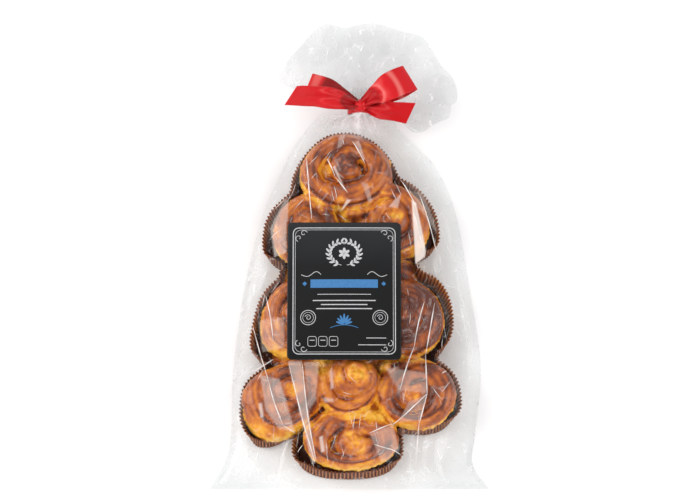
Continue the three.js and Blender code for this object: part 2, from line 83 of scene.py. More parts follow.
# One bun per lobe of the case: rim centre x, y, rim half-widths rx, ry, how much wider the rim
# is towards the foot of the tree, how far it leans sideways for each millimetre towards the
# tip, how square it is from 2 for an ellipse upwards, and the crown height. Then how far the
# bun is pushed off the rim's centre, how much of each half-width it fills and where the
# swirl's eye lies from there. Then the swirl's start in turns, its sense, its rope's width as
# a level, the bearing in turns and the width of the gap where the outer turn stands off the
# inner one, how golden the heart of the swirl is and its radius, how much darker the bun is,
# and the level from which its side towards the foot is golden.
Lobe = namedtuple(
    "Lobe", "x y rx ry egg lean square crown push fill eye start sense width gap heart tone lip")
LOBES = [
    Lobe(-4, 60, 47, 48, 0.12, 0, 2, 50, (1, 10), (0.87, 0.75), (1, 4),
         0.39, 1, 0.6, (0.55, 10), (-0.6, 12), 0.02, 0.9),
    Lobe(-43, 19, 31.5, 36, 0.15, 0.1, 2.4, 46, (5, -1), (0.91, 0.92), (2, 2),
         0.1, 1, 0.46, (0.8, 4), (0.2, 6), -0.05, 0.85),
    Lobe(41.5, 29, 34, 38, 0.1, -0.2, 2.3, 46, (-4.5, -3), (0.94, 0.9), (-3, 2),
         0.35, -1, 0.46, (0.7, 4), (0.2, 6), -0.03, 0.85),
    Lobe(-50, -64, 34.5, 43, 0.12, 0.1, 2.5, 47, (3, 2), (0.89, 0.82), (3, 0),
         0.8, 1, 0.46, (0.2, 4), (0.2, 6), -0.03, 0.8),
    Lobe(53, -60, 36, 42, 0.05, 0, 2.3, 47, (-4, -1), (0.9, 0.84), (-4, 0),
         0.9, -1, 0.46, (0.4, 3), (0.2, 6), 0.3, 0.95),
    Lobe(-57, -137, 37, 37, -0.4, 0.45, 2.5, 46, (-1, 2), (0.96, 0.9), (9, 7),
         0.9, 1, 0.52, (0.72, 1), (0.75, 8), 0.0, 0.66),
    Lobe(57, -128, 38, 35, 0, -0.1, 2.2, 46, (-1, 1), (0.94, 0.91), (-3, -3),
         0.5, 1, 0.54, (0.76, 4), (0.7, 10), 0.14, 0.78),
    Lobe(-3, -121, 28, 29, 0, 0, 2, 48, (1, 1), (0.97, 0.97), (7, 5),
         0.62, 1, 0.38, (0.6, 3), (0.5, 11), -0.2, 0.9),
    Lobe(-2, -170, 47, 32, 0.1, 0, 2.5, 45, (3, 4), (0.88, 0.9), (4, -6),
         0.39, 1, 0.56, (0.54, 6), (0.8, 12), 0.02, 0.84),
]

# Spots where the buns tore apart and pale dough shows: plan place and radius
TORN = [(21, -149, 10), (-21, 71, 8), (-24, -96, 7), (30, -104, 7), (40, 28, 7), (-8, 40, 7)]

# Deep grooves between buns, darkened with painted shade: plan place and radius
SHADED_GROOVES = [(-24, 33, 14), (-30, -143, 13), (50, -10, 8), (-50, -12, 9)]

# Lumps of dough that rose between the buns: plan place, half-widths and top height. The first
# one lies under the label.
LUMPS = [
    (1, -42, 40, 46, 45), (6, 31, 17, 10, 39), (21, -149, 12, 9, 33), (-24, -98, 9, 9, 35),
    (31, -104, 8, 8, 35),
]
LUMP_FOOT = 8.0

# How brown the crust is, and what each feature adds to it. The pit and crease terms add painted shade:
# in the deep valleys between buns, where the crust is also a little darker, and in narrow creases
# between rope turns.
BAKED = 0.7
BROWNING_AND_SHADE = dict(
    hidden=-0.52, flank=-0.42, pit=0.4, streaks=0.2, patches=0.17, spots=0.1, fine=0.06, crease=0.8)
FOOTWARD_GOLD = 0.55
TORN_GOLD = 0.8
GROOVE_SHADE = 1.1

# Driving dimensions of the bag. Each row gives y and the left and right edge of the film.
BAG_ROWS = [
    (-206, -121, 120), (-184, -109, 106), (-158, -103, 108), (-97, -101, 113.5), (-21, -91, 103.5),
    (40, -76, 93), (80, -60, 77), (104, -48, 57), (119, -37, 42),
]
BAG_BOTTOM = BAG_ROWS[0][0]
EDGE_THICKNESS = 1.6
SKIRT_HEIGHT = 15.0
FRONT_COLUMNS = 221
BACK_COLUMNS = 43
FILM_STEP = 1.1
FILM_CLEARANCE = 0.5
FILM_SAG = 0.012
FILM_ROUNDS = 1400
NECK_PUFF = 5.0
# The next two set painted light at the tie: how far from it the film is whitened, and how white the
# gathered film is, partly its own milky white
GATHER_REACH = 36.0
NECK_WHITE = 0.8
HEM_DIM = 0.055
HEM_TOP = -125.0
FINE_FOLDS = 46
CRINKLES = 110
BACK_HEIGHT = 0.35

# The tie: the bag's neck runs along Y through this point
NECK = (8.7, 129.5, 20.0)
NECK_RADIUS = 9.0
NECK_HALF_LENGTH = 5.2

# The bundle of film that leaves the tie inside the mouth: how far out, its shares of the
# neck's width and height, and how white it still is with painted light
NECK_BUNDLE = [
    (1.0, 0.97, 0.72, 0.8),
    (3.0, 0.92, 0.5, 0.65),
    (7.0, 0.85, 0.3, 0.45),
    (12.0, 0.78, 0.12, 0.3),
    (16.0, 0.7, 0.01, 0.2),
]
TENT_LENGTH = 42.0
TENT_SPREAD = 38.0
TENT_HEIGHT = 42.0
TENT_FADE = (1.0, 1.6)

# The mouth of the bag above the tie: its reach from the neck at each angle from +X
MOUTH_REACH = [
    (-22, 50), (-14, 63), (-4, 78), (4, 81), (12, 88), (32, 85), (52, 86), (72, 83), (97, 82),
    (113, 86), (136, 79), (158, 78),
]
MOUTH_AREA = ((-80, 100), (130, 215))
MOUTH_SPREAD = 1.6
MOUTH_DROOP = 4.0
MOUTH_BUNDLE = 6.3
MOUTH_EDGE = 1.2
RUFFLE_WAVES = 7.3
SWELL_WAVES = 2.6
RUFFLE_HEIGHT = 8.0

# The label on the front
LABEL_AT = np.array([-5, -42])
LABEL_WIDTH = 98
LABEL_LENGTH = 122
LABEL_CORNER = 4.5
LABEL_THICKNESS = 0.8
LABEL_EDGE_Z = 49.0
LABEL_CROWN = 1.6
LABEL_GAP = 0.35
PRINT_HEIGHT = 0.12
PRINT_DEPTH = 0.05

# The ribbon
RIBBON_WIDTH = 25.0
RIBBON_THICKNESS = 0.4
KNOT = (8.7, 129.0, 36.5)
KNOT_SIZE = (6.8, 5.4, 4.6)
RING_PROFILE = [
    (9.55, -4.6), (10.7, -4.2), (11.1, -1.5), (10.7, 0), (11.1, 1.6), (10.7, 4.2), (9.55, 4.6)]

# The photograph's frame: its size, its scale, and the place that its middle looks at
PHOTO_SIZE = (700, 503)
PHOTO_SCALE = 0.87
VIEW_ELEVATION = math.radians(75)
VIEW_DISTANCE = 3.2
AIM = (0.0, -0.3, 25.0)

# The corner of the bag's solid ties the plan frame to the row frame
bag_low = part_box("bag")[0]
PLAN_ORIGIN = np.array([bag_low[0] - BAG_ROWS[0][1] * MM, bag_low[1] - BAG_BOTTOM * MM, 0.0])


# Small helpers

def lerp(a, b, t):
    return a + (b - a) * t


def smooth(value, low, high):
    t = np.clip((np.asarray(value, float) - low) / (high - low), 0, 1)
    return t * t * (3 - 2 * t)


def circle(count):
    return np.linspace(0, TAU, count, endpoint=False)


def heading(degrees):
    """The direction at an angle from +X."""
    return np.array([math.cos(math.radians(degrees)), math.sin(math.radians(degrees))])


def left_of(way):
    return np.array([-way[1], way[0]])


def travelled(path):
    """How far along its path each point lies."""
    return np.concatenate([[0], np.cumsum(np.hypot(*np.diff(path, axis=0).T))])


def to_row(points):
    return np.asarray(points, float) * MM + PLAN_ORIGIN


def through(stations, count):
    """Points of a Catmull-Rom spline through the stations, spread evenly over its spans."""
    p = np.array(stations, float)
    p = np.vstack([2 * p[0] - p[1], p, 2 * p[-1] - p[-2]])
    t = np.linspace(0, len(stations) - 1, count)
    i = np.minimum(t.astype(int), len(stations) - 2)
    f = (t - i)[:, None]
    a, b, c, d = p[i], p[i + 1], p[i + 2], p[i + 3]
    bend = 2 * b + (c - a) * f + (2 * a - 5 * b + 4 * c - d) * f ** 2
    return 0.5 * (bend + (3 * b - a - 3 * c + d) * f ** 3)


def mesh_object(name, points, faces, material=None, attributes=None, smooth_shading=True):
    """A mesh object in the row frame from points in plan millimetres."""
    mesh = bpy.data.meshes.new(name)
    mesh.from_pydata(to_row(points).tolist(), [], faces)
    mesh.validate()
    for label, values in (attributes or {}).items():
        layer = mesh.attributes.new(label, "FLOAT", "POINT")
        layer.data.foreach_set("value", np.asarray(values, np.float32))
    mesh.shade_smooth() if smooth_shading else mesh.shade_flat()
    if material:
        mesh.materials.append(material)
    made = bpy.data.objects.new(name, mesh)
    bpy.context.scene.collection.objects.link(made)
    return made


def add_piece(name, replaced, material, shape, attributes=None, smooth_shading=True):
    """A piece from points and faces with its material. It rides on the pack and may stand for a
    solid, whose part it hides."""
    piece = mesh_object(name, *shape, material, attributes, smooth_shading)
    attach(piece, "root")
    if replaced:
        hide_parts(replaced)


def grid_faces(rows, columns, closed=False):
    """Quads between rows of points, with the columns closed into rings where asked."""
    r, c = np.meshgrid(np.arange(rows - 1), np.arange(columns - (not closed)), indexing="ij")
    a = r * columns + c
    b = r * columns + (c + 1) % columns
    return np.stack([a, b, b + columns, a + columns], -1).reshape(-1, 4).tolist()


def tube(rings):
    """Points and faces of a closed body through rings, each end shut by one face."""
    rings = np.asarray(rings, float)
    rows, columns = rings.shape[:2]
    ends = [list(range(columns))[::-1], list(range((rows - 1) * columns, rows * columns))]
    return rings.reshape(-1, 3), grid_faces(rows, columns, closed=True) + ends


def hoop(rings):
    """The same where the last ring joins up with the first."""
    rings = np.asarray(rings, float)
    rows, columns = rings.shape[:2]
    last = (rows - 1) * columns
    joint = [[i, last + i, last + (i + 1) % columns, (i + 1) % columns] for i in range(columns)]
    return rings.reshape(-1, 3), grid_faces(rows, columns, closed=True) + joint


def dome(x, y, half_x, half_y, count, turns, base, rise):
    """A round body whose rings draw in with the cosine of each turn and rise with its sine."""
    angle = circle(count)
    return tube([
        np.c_[
            x + half_x * math.cos(turn) * np.cos(angle),
            y + half_y * math.cos(turn) * np.sin(angle),
            np.full(count, base + rise * math.sin(turn)),
        ]
        for turn in turns
    ])


def merged(parts):
    """Points and faces of several bodies as one list each."""
    faces = []
    offset = 0
    for points, part_faces in parts:
        faces.extend([[i + offset for i in face] for face in part_faces])
        offset += len(points)
    return np.vstack([points for points, _ in parts]), faces


def wobble(points, scale, seed):
    """Smooth noise from -1 to 1 at each point, for features of that size in millimetres."""
    shift = Vector((seed * 7.31, seed * 3.17, seed * 5.73))
    return np.array([noise.noise(Vector(p) / scale + shift) for p in points.tolist()]) * 1.6


# Materials

class Nodes:
    """The nodes of one material, and short ways to add to them."""

    def __init__(self, name):
        self.material = bpy.data.materials.new(name)
        self.material.use_nodes = True
        self.tree = self.material.node_tree
        self.tree.nodes.clear()

    def add(self, kind, inputs, out=0, **settings):
        """The named output of a new node whose inputs are sockets or values."""
        made = self.tree.nodes.new("ShaderNode" + kind)
        for key, value in settings.items():
            setattr(made, key, value)
        for key, value in inputs.items():
            if isinstance(value, bpy.types.NodeSocket):
                self.tree.links.new(value, made.inputs[key])
            else:
                made.inputs[key].default_value = value
        return made.outputs[out]

    def maths(self, operation, *values, clamp=False):
        return self.add("Math", dict(enumerate(values)), operation=operation, use_clamp=clamp)

    def vectors(self, operation, a, b):
        return self.add("VectorMath", {0: a, 1: b}, operation=operation)

    def mix(self, factor, a, b):
        return self.add("MixShader", {0: factor, 1: a, 2: b})

    def place(self):
        return self.add("TexCoord", {}, "Object")

    def attribute(self, name):
        return self.add("Attribute", {}, "Fac", attribute_name=name)

    def noise(self, scale, detail=3.0, roughness=0.5, stretch=None):
        """Noise in object space. A stretch squeezes the space along each axis first."""
        place = self.place()
        if stretch:
            place = self.add("Mapping", {"Vector": place, "Scale": stretch}, "Vector")
        inputs = {"Vector": place, "Scale": scale, "Detail": detail, "Roughness": roughness}
        return self.add("TexNoise", inputs, "Fac")

    def ramp(self, factor, stops):
        colour = self.add("ValToRGB", {"Fac": factor}, "Color")
        elements = colour.node.color_ramp.elements
        while len(elements) < len(stops):
            elements.new(0.5)
        for element, (position, shade) in zip(elements, stops):
            element.position = position
            element.color = (*shade, 1)
        return colour

    def bump(self, height, distance, strength, normal=None):
        inputs = {"Height": height, "Distance": distance, "Strength": strength}
        if normal:
            inputs["Normal"] = normal
        return self.add("Bump", inputs, "Normal")

    def finish(self, shader):
        output = self.tree.nodes.new("ShaderNodeOutputMaterial")
        self.tree.links.new(shader, output.inputs["Surface"])
        return self.material

    def finish_solid(self, colour, roughness, **others):
        """The material of something opaque. Other inputs have low lines for spaces."""
        inputs = {"Base Color": colour, "Roughness": roughness}
        inputs.update((key.replace("_", " "), value) for key, value in others.items())
        return self.finish(self.add("BsdfPrincipled", inputs))


def crust_material():
    """Glazed brioche: golden where dough was hidden or tore, brown on the tops, darker with painted
    shade in grooves and creases.
    """
    nodes = Nodes("crust")
    # The attribute read here holds the crust's browning together with painted shade in its grooves and
    # creases.
    browned = nodes.attribute("browned")
    patches = nodes.maths("MULTIPLY_ADD", nodes.noise(45), 0.3, -0.15)
    freckles = nodes.maths("MULTIPLY_ADD", nodes.noise(420, 3.0, 0.6), 0.3, -0.15)
    shade = nodes.maths("ADD", nodes.maths("ADD", browned, patches), freckles, clamp=True)
    colour = nodes.ramp(shade, [
        (0.0, (0.86, 0.45, 0.035)),
        (0.2, (0.8, 0.325, 0.010)),
        (0.42, (0.62, 0.175, 0.003)),
        (0.7, (0.38, 0.074, 0.0025)),
        (1.0, (0.10, 0.014, 0.002)),
    ])
    torn = nodes.maths("SUBTRACT", 1.0, browned, clamp=True)
    crumb = nodes.maths("MULTIPLY", nodes.noise(900, 4.0, 0.65), torn)
    skin = nodes.bump(nodes.noise(190, 4.0, 0.55), 0.0007, 0.55)
    surface = nodes.bump(crumb, 0.0008, 0.6, skin)
    roughness = nodes.maths("MULTIPLY_ADD", torn, 0.3, 0.4)
    return nodes.finish_solid(
        colour, roughness, Normal=surface, Specular_IOR_Level=0.5, Coat_Weight=0.4, Coat_Roughness=0.16)


def paper_material():
    """Brown baking paper with painted light: a painted highlight on the outer folds of its pleats,
    painted shade in the troughs between them, and a lighter inner face that lifts the shade inside the
    wall.
    """
    nodes = Nodes("brown_paper")
    fibres = nodes.noise(260, 4.0, 0.6)
    tone = nodes.maths("MULTIPLY_ADD", fibres, 0.35, -0.17)
    tone = nodes.maths("ADD", nodes.attribute("fold"), tone, clamp=True)
    colour = nodes.ramp(tone, [
        (0.0, (0.045, 0.010, 0.006)),
        (0.5, (0.24, 0.068, 0.032)),
        (1.0, (0.58, 0.25, 0.085)),
    ])
    surface = nodes.bump(fibres, 0.0003, 0.4)
    return nodes.finish_solid(colour, 0.55, Normal=surface, Specular_IOR_Level=0.2)


def film_material(name, clearness, fineness, milk):
    """Thin clear film: it lets light through slightly greyed, and mirrors more at a slant.
    Crumpled film is broken into small facets with white lines between them, which are painted
    highlights on the crinkles. An attribute marks film that is creased milky and painted
    reflections of the lamps, white marks painted light on gathered film, on film that would
    reflect the room and on film over the shade beside the loaf, dim where it lets less light
    through, and crumpled how strong the facets are."""
    nodes = Nodes(name)
    maths = nodes.maths
    crumpled = nodes.attribute("crumpled")
    place = nodes.place()
    bend = nodes.add("TexNoise", {"Vector": place, "Scale": 40, "Detail": 2.0}, "Color")
    bent = nodes.vectors("ADD", place, nodes.vectors("MULTIPLY", bend, (0.014, 0.014, 0.014)))
    cells = {"Vector": nodes.vectors("MULTIPLY", bent, (1.0, 0.7, 0.25)), "Scale": fineness}
    to_edge = nodes.add("TexVoronoi", cells, "Distance", feature="DISTANCE_TO_EDGE")
    to_middle = nodes.add("TexVoronoi", cells, "Distance")
    # White lines along the facet edges, broken up by noise, are painted highlights on the crinkles; the
    # white attribute adds painted light to them
    broken = maths("SUBTRACT", maths("MULTIPLY", nodes.noise(110, 2.0), 7.0), 3.6, clamp=True)
    near_edge = maths("SUBTRACT", 1.0, maths("DIVIDE", to_edge, 0.07), clamp=True)
    line = maths("MULTIPLY", maths("POWER", near_edge, 2.0), broken)
    line = maths("ADD", maths("MULTIPLY", line, crumpled), nodes.attribute("white"), clamp=True)
    grey = nodes.add("SeparateColor", {0: to_middle.node.outputs["Color"]})
    grey = maths("MULTIPLY", maths("MULTIPLY", grey, 0.04), crumpled)
    clearness = maths("SUBTRACT", maths("SUBTRACT", clearness, grey), nodes.attribute("dim"))
    facing = nodes.add("LayerWeight", {"Blend": 0.5}, "Facing")
    mirror = maths("MULTIPLY_ADD", maths("POWER", facing, 3.0), 0.24, 0.004)
    surface = nodes.bump(nodes.noise(160, 3.0, 0.6, (1.0, 0.25, 1.0)), 0.0003, 0.3)
    surface = nodes.bump(maths("MULTIPLY", to_middle, crumpled), 0.004, 0.5, surface)
    warm = maths("MULTIPLY", clearness, 0.994)
    tint = nodes.add("CombineColor", {0: warm, 1: clearness, 2: clearness})
    clear = nodes.add("BsdfTransparent", {"Color": tint})
    shine = {"Color": (1, 1, 1, 1), "Roughness": 0.09, "Normal": surface}
    shine = nodes.add("BsdfGlossy", shine)
    haze = nodes.add("BsdfDiffuse", {"Color": (*milk, 1)})
    bright = nodes.add("BsdfDiffuse", {"Color": (0.97, 0.97, 0.97, 1)})
    milky = nodes.mix(nodes.attribute("veil"), clear, haze)
    return nodes.finish(nodes.mix(mirror, nodes.mix(line, milky, bright), shine))


def label_material():
    """Satin-finished dark card, a little lighter towards its top."""
    nodes = Nodes("label_card")
    generated = nodes.add("TexCoord", {}, "Generated")
    along = nodes.maths("MULTIPLY", nodes.add("SeparateXYZ", {0: generated}, "Y"), 0.7)
    tone = nodes.maths("ADD", along, nodes.maths("MULTIPLY", nodes.noise(14, 2.0), 0.3))
    colour = nodes.ramp(tone, [
        (0.15, (0.002, 0.0022, 0.0024)),
        (0.6, (0.0045, 0.005, 0.0055)),
        (0.9, (0.018, 0.02, 0.0215)),
    ])
    surface = nodes.bump(nodes.noise(900, 3.0, 0.6), 0.00005, 0.4)
    return nodes.finish_solid(colour, 0.34, Normal=surface, Specular_IOR_Level=0.3)


def ink_material(name, low, high):
    """Matt print, slightly uneven in its cover."""
    nodes = Nodes(name)
    return nodes.finish_solid(nodes.ramp(nodes.noise(700, 3.0, 0.6), [(0.3, low), (0.7, high)]), 0.45)


def ribbon_material():
    """Red satin: fine threads across the ribbon, a soft long sheen and a woven edge. It is darkened
    with painted shade near the knot and in its hollows, where on the left loop it is also the duller
    back face, and lightened in painted highlight stripes.
    """
    nodes = Nodes("red_satin")
    maths = nodes.maths
    ribs = maths("SINE", maths("MULTIPLY", nodes.attribute("along"), 9.0))
    edge = maths("GREATER_THAN", maths("ABSOLUTE", nodes.attribute("across")), 0.95)
    cloud = maths("MULTIPLY_ADD", nodes.noise(60), 0.3, 0.5)
    tone = maths("ADD", maths("MULTIPLY_ADD", edge, -0.3, 0.5), cloud)
    # Painted shade, and on the left loop also its duller back face
    dull = maths("MULTIPLY", nodes.attribute("dull"), 0.75)
    colour = nodes.ramp(maths("SUBTRACT", tone, dull, clamp=True), [
        (0.0, (0.15, 0.0015, 0.003)),
        (0.6, (0.46, 0.004, 0.009)),
        (1.0, (0.6, 0.007, 0.014)),
    ])
    # Painted highlight stripes across the satin
    glow = {0: nodes.attribute("glow"), 6: colour, 7: (0.88, 0.27, 0.24, 1)}
    return nodes.finish_solid(
        nodes.add("Mix", glow, 2, data_type="RGBA"), 0.3,
        Normal=nodes.bump(ribs, 0.00006, 0.35), Specular_IOR_Level=0.6,
        Specular_Tint=(1.0, 0.45, 0.4, 1), Anisotropic=0.6)


# The plan grid that heights are worked out on

GRID_STEP = 1.5
GRID_X = np.arange(-130.0, 131.0, GRID_STEP)
GRID_Y = np.arange(-214.0, 146.0, GRID_STEP)
PLAN_X, PLAN_Y = np.meshgrid(GRID_X, GRID_Y, indexing="ij")


def sample(field, x, y):
    """Bilinear value of a grid field at plan places."""
    u = np.clip((np.asarray(x) - GRID_X[0]) / GRID_STEP, 0, len(GRID_X) - 1.001)
    v = np.clip((np.asarray(y) - GRID_Y[0]) / GRID_STEP, 0, len(GRID_Y) - 1.001)
    i = u.astype(int)
    j = v.astype(int)
    low = lerp(field[i, j], field[i + 1, j], u - i)
    high = lerp(field[i, j + 1], field[i + 1, j + 1], u - i)
    return lerp(low, high, v - j)


def spread(field, radius, keep=np.maximum):
    """The largest, or with np.minimum the smallest, value within a square about each cell."""
    for axis in (0, 1):
        padded = np.pad(field, [(radius, radius) if a == axis else (0, 0) for a in (0, 1)], "edge")
        length = field.shape[axis]
        field = keep.reduce([
            np.take(padded, range(k, k + length), axis) for k in range(2 * radius + 1)
        ])
    return field


def blurred(field, rounds):
    """The field with its small bumps averaged away."""
    for _ in range(rounds):
        for axis in (0, 1):
            field = (np.roll(field, 1, axis) + 2 * field + np.roll(field, -1, axis)) / 4
    return field


def height_field(points):
    """The highest point over each grid cell."""
    field = np.zeros(PLAN_X.shape)
    i = np.clip(np.round((points[:, 0] - GRID_X[0]) / GRID_STEP).astype(int), 0, len(GRID_X) - 1)
    j = np.clip(np.round((points[:, 1] - GRID_Y[0]) / GRID_STEP).astype(int), 0, len(GRID_Y) - 1)
    np.maximum.at(field, (i, j), points[:, 2])
    return field


# Loaf

def lobe_distance(x, y, lobe):
    """About how far a plan place lies outside a lobe of the case, negative inside."""
    up = y - lobe.y
    along = up / lobe.ry
    half_width = lobe.rx * (1 - lobe.egg * np.clip(along, -1, 1))
    across = (x - lobe.x - lobe.lean * up) / half_width
    scaled = (np.abs(across) ** lobe.square + np.abs(along) ** lobe.square) ** (1 / lobe.square)
    return (scaled - 1) * min(lobe.rx, lobe.ry)


def dough_distance(x, y):
    """The same for the dough that joins the buns."""
    y_of, half_of = np.array(DOUGH_STATIONS, float).T
    beyond_ends = np.maximum(y_of[0] - y, y - y_of[-1])
    return np.maximum(np.abs(x) - np.interp(y, y_of, half_of) + 3, beyond_ends)


def loaf_distance(x, y):
    """Distance outside the whole loaf, with the notches between lobes rounded off."""
    total = np.exp(-dough_distance(x, y) / NOTCH_RADIUS * 2)
    for lobe in LOBES:
        total = total + np.exp(-np.clip(lobe_distance(x, y, lobe), -60, 60) / NOTCH_RADIUS * 2)
    return -np.log(total) * NOTCH_RADIUS / 2


def bun_middle(lobe):
    return np.array([lobe.x, lobe.y], float) + lobe.push


def bun_half(lobe):
    return np.array([lobe.rx, lobe.ry]) * lobe.fill


def bun_edge(lobe, level, angle):
    """The plan place at a level of the bun in a direction: rings about the bun's middle at
    level 1 follow the rim's lean and egg a little, and move over to the eye further in."""
    inward = 1 - smooth(level, 0.35, 1.0)
    along = math.sin(angle)
    half_x, half_y = bun_half(lobe)
    up = level * half_y * along
    side = level * half_x * math.cos(angle) * (1 - BUN_FOLLOWS * lobe.egg * along * level)
    reach = (side + BUN_FOLLOWS * lobe.lean * up, up)
    return bun_middle(lobe) + np.array(lobe.eye) * inward + reach


def bun_body(lobe):
    """The rounded body of a bun, which shows in the gaps of its swirl."""
    rings = []
    top = lobe.crown - BODY_DROP
    for turn in np.linspace(-0.5, 1.45, 16):
        shrink = math.cos(turn) if turn > 0 else 1 - 0.12 * turn * turn
        height = lerp(BUN_SPRING, top, math.sin(turn)) if turn > 0 else BUN_SPRING + 20 * turn
        rings.append([(*bun_edge(lobe, 0.97 * shrink, angle), height) for angle in circle(48)])
    return tube(rings)


def swirl_level(turn, width):
    turn = max(turn, 0)
    whole = math.floor(turn)
    return max(0.0, 1 - width * (whole + float(smooth(turn - whole, *CROSSING))))


def bun_swirl(lobe, seed):
    """The rolled rope of dough that makes the swirl on a bun, uneven along its length."""
    turns = 0.93 / lobe.width
    steps = round(STEPS_PER_TURN * (turns + TAIL_TURNS))
    size = min(lobe.rx, lobe.ry) * 0.94
    phase = np.random.default_rng(seed).uniform(0, TAU, 4)
    around = circle(22)
    sides = np.sign(np.cos(around)) * np.abs(np.cos(around)) ** 0.85
    gap_bearing, gap_width = lobe.gap
    rings = []
    for turn in np.linspace(-TAIL_TURNS, turns, steps + 1):
        s = max(0.0, turn) / turns
        tail = max(0.0, -turn) / TAIL_TURNS
        angle = TAU * (lobe.start + lobe.sense * turn)
        outer = bun_edge(lobe, swirl_level(turn, lobe.width), angle)
        inner = bun_edge(lobe, swirl_level(turn + 1, lobe.width), angle)
        way = outer - inner
        width = float(np.hypot(*way))
        way = way / max(width, 1e-6)
        open_gap = gap_width * max(0.0, math.cos(angle - TAU * gap_bearing)) ** 3
        open_gap *= float(1 - smooth(turn, 0.9, 1.15))
        uneven = 0.05 * math.sin(3 * angle + phase[0]) + 0.04 * math.sin(5.3 * angle + phase[1])
        inner = inner + way * (open_gap - ROPE_OVERLAP * width - TAIL_OVERLAP * tail)
        outer = outer + way * (uneven * width * s)
        half_width = max(THINNEST_ROPE, float(np.hypot(*(outer - inner))) / 2)
        half_width *= float(smooth(turns - turn, -0.12, 0.1))
        half_height = size * lerp(*ROPE_HALF_HEIGHT, s) * min(1.0, 0.5 + half_width / (0.3 * size))
        lump = 1.1 * math.sin(2 * angle + phase[2]) + 0.8 * math.sin(4.1 * angle + phase[3])
        top = lobe.crown - SWIRL_RISE * (1 - s ** 0.9) + lump * (1 - s) - TAIL_DROP * tail
        lift = half_height * np.sin(around)
        reach = half_width * sides - 0.14 * lift
        rings.append(np.c_[(outer + inner) / 2 + np.outer(reach, way), top - half_height + lift])
    return tube(rings)


def bun_heart(lobe):
    """The rounded end of the rope at the swirl's eye."""
    size = 0.2 * min(lobe.rx, lobe.ry)
    x, y = bun_middle(lobe) + lobe.eye
    return dome(x, y, size, size, 20, np.linspace(-1.45, 1.45, 10), lobe.crown - 1.2 - size, size)


def joining_dough():
    """The dough that joins the buns, a slab with chamfered edges."""
    profile = ((3, 1.5), (7, DOUGH_LEVEL - 3), (14, DOUGH_LEVEL + 3))
    rings = []
    for y, half in DOUGH_STATIONS:
        right = [(half - inset, y, z) for inset, z in profile]
        left = [(inset - half, y, z) for inset, z in profile]
        rings.append(left[:1] + right + left[:0:-1])
    return tube(rings)


def mound(x, y, half_x, half_y, top):
    """A plain dome of risen dough."""
    return dome(x, y, half_x, half_y, 40, np.linspace(0, 1.4, 9), LUMP_FOOT, top - LUMP_FOOT)


def fused_loaf():
    """All the dough as one mesh, with ropes that melt into each other at their feet."""
    parts = [joining_dough()] + [mound(*lump) for lump in LUMPS]
    for index, lobe in enumerate(LOBES):
        parts += [bun_body(lobe), bun_swirl(lobe, 11 + index), bun_heart(lobe)]
    rough = mesh_object("loaf_rough", *merged(parts))
    remesh = rough.modifiers.new("fuse", "REMESH")
    remesh.mode = "VOXEL"
    remesh.voxel_size = LOAF_VOXEL * MM
    soften = rough.modifiers.new("soften", "SMOOTH")
    soften.factor = 0.5
    soften.iterations = 5
    evaluated = rough.evaluated_get(bpy.context.evaluated_depsgraph_get())
    mesh = bpy.data.meshes.new_from_object(evaluated)
    places = {}
    for key in ("co", "normal"):
        values = np.empty(len(mesh.vertices) * 3, np.float32)
        mesh.vertices.foreach_get(key, values)
        places[key] = values.reshape(-1, 3).astype(float)
    faces = [list(p.vertices) for p in mesh.polygons]
    bpy.data.objects.remove(rough)
    bpy.data.meshes.remove(mesh)
    return (places["co"] - PLAN_ORIGIN) / MM, places["normal"], faces


def rope_streaks(points):
    """Noise that is drawn out along the turns of the nearest swirl."""
    eyes = np.array([bun_middle(lobe) + lobe.eye for lobe in LOBES])
    offsets = points[:, None, :2] - eyes[None]
    nearest = np.argmin(np.hypot(offsets[..., 0], offsets[..., 1]), 1)
    offset = offsets[np.arange(len(points)), nearest]
    away = np.hypot(offset[:, 0], offset[:, 1])
    bearing = np.arctan2(offset[:, 1], offset[:, 0])
    drawn_out = [1.6 * np.cos(bearing), 1.6 * np.sin(bearing), away / 3.0 + 9 * nearest]
    return wobble(np.stack(drawn_out, -1), 1.0, 5)


def bake_and_shade_tones(points):
    """How much browner than usual each point is: hearts of swirls and torn dough are golden, some buns
    are darker, and deep grooves between buns get painted shade. Also how far out in its bun each point
    lies, and the fold above its golden side, which marks a dark line of painted shade."""
    total = np.zeros(len(points))
    tone = np.zeros(len(points))
    share = np.zeros(len(points))
    level = np.full(len(points), 9.0)
    fold = np.zeros(len(points))
    for lobe in LOBES:
        golden, radius = lobe.heart
        away = np.hypot(*(points[:, :2] - bun_middle(lobe) - lobe.eye).T)
        total -= golden * (1 - smooth(away, 0.45 * radius, 1.2 * radius))
        offset = (points[:, :2] - bun_middle(lobe)) / bun_half(lobe)
        out = np.hypot(*offset.T)
        weight = np.exp(-4 * out)
        tone += lobe.tone * weight
        share += weight
        level = np.minimum(level, out)
        footward = smooth(-offset[:, 1] / np.maximum(out, 0.01), 0.25, 0.75) * (out < 1.15)
        total -= FOOTWARD_GOLD * footward * smooth(out, lobe.lip, lobe.lip + 0.06)
        fold = np.maximum(fold, footward * np.exp(-((out - lobe.lip) / 0.03) ** 2))
    for spots, change, inner in ((TORN, -TORN_GOLD, 0.4), (SHADED_GROOVES, GROOVE_SHADE, 0.2)):
        for x, y, radius in spots:
            away = np.hypot(points[:, 0] - x, points[:, 1] - y)
            total += change * (1 - smooth(away, inner * radius, 1.1 * radius))
    return 0.5 * total + tone / share, level, fold


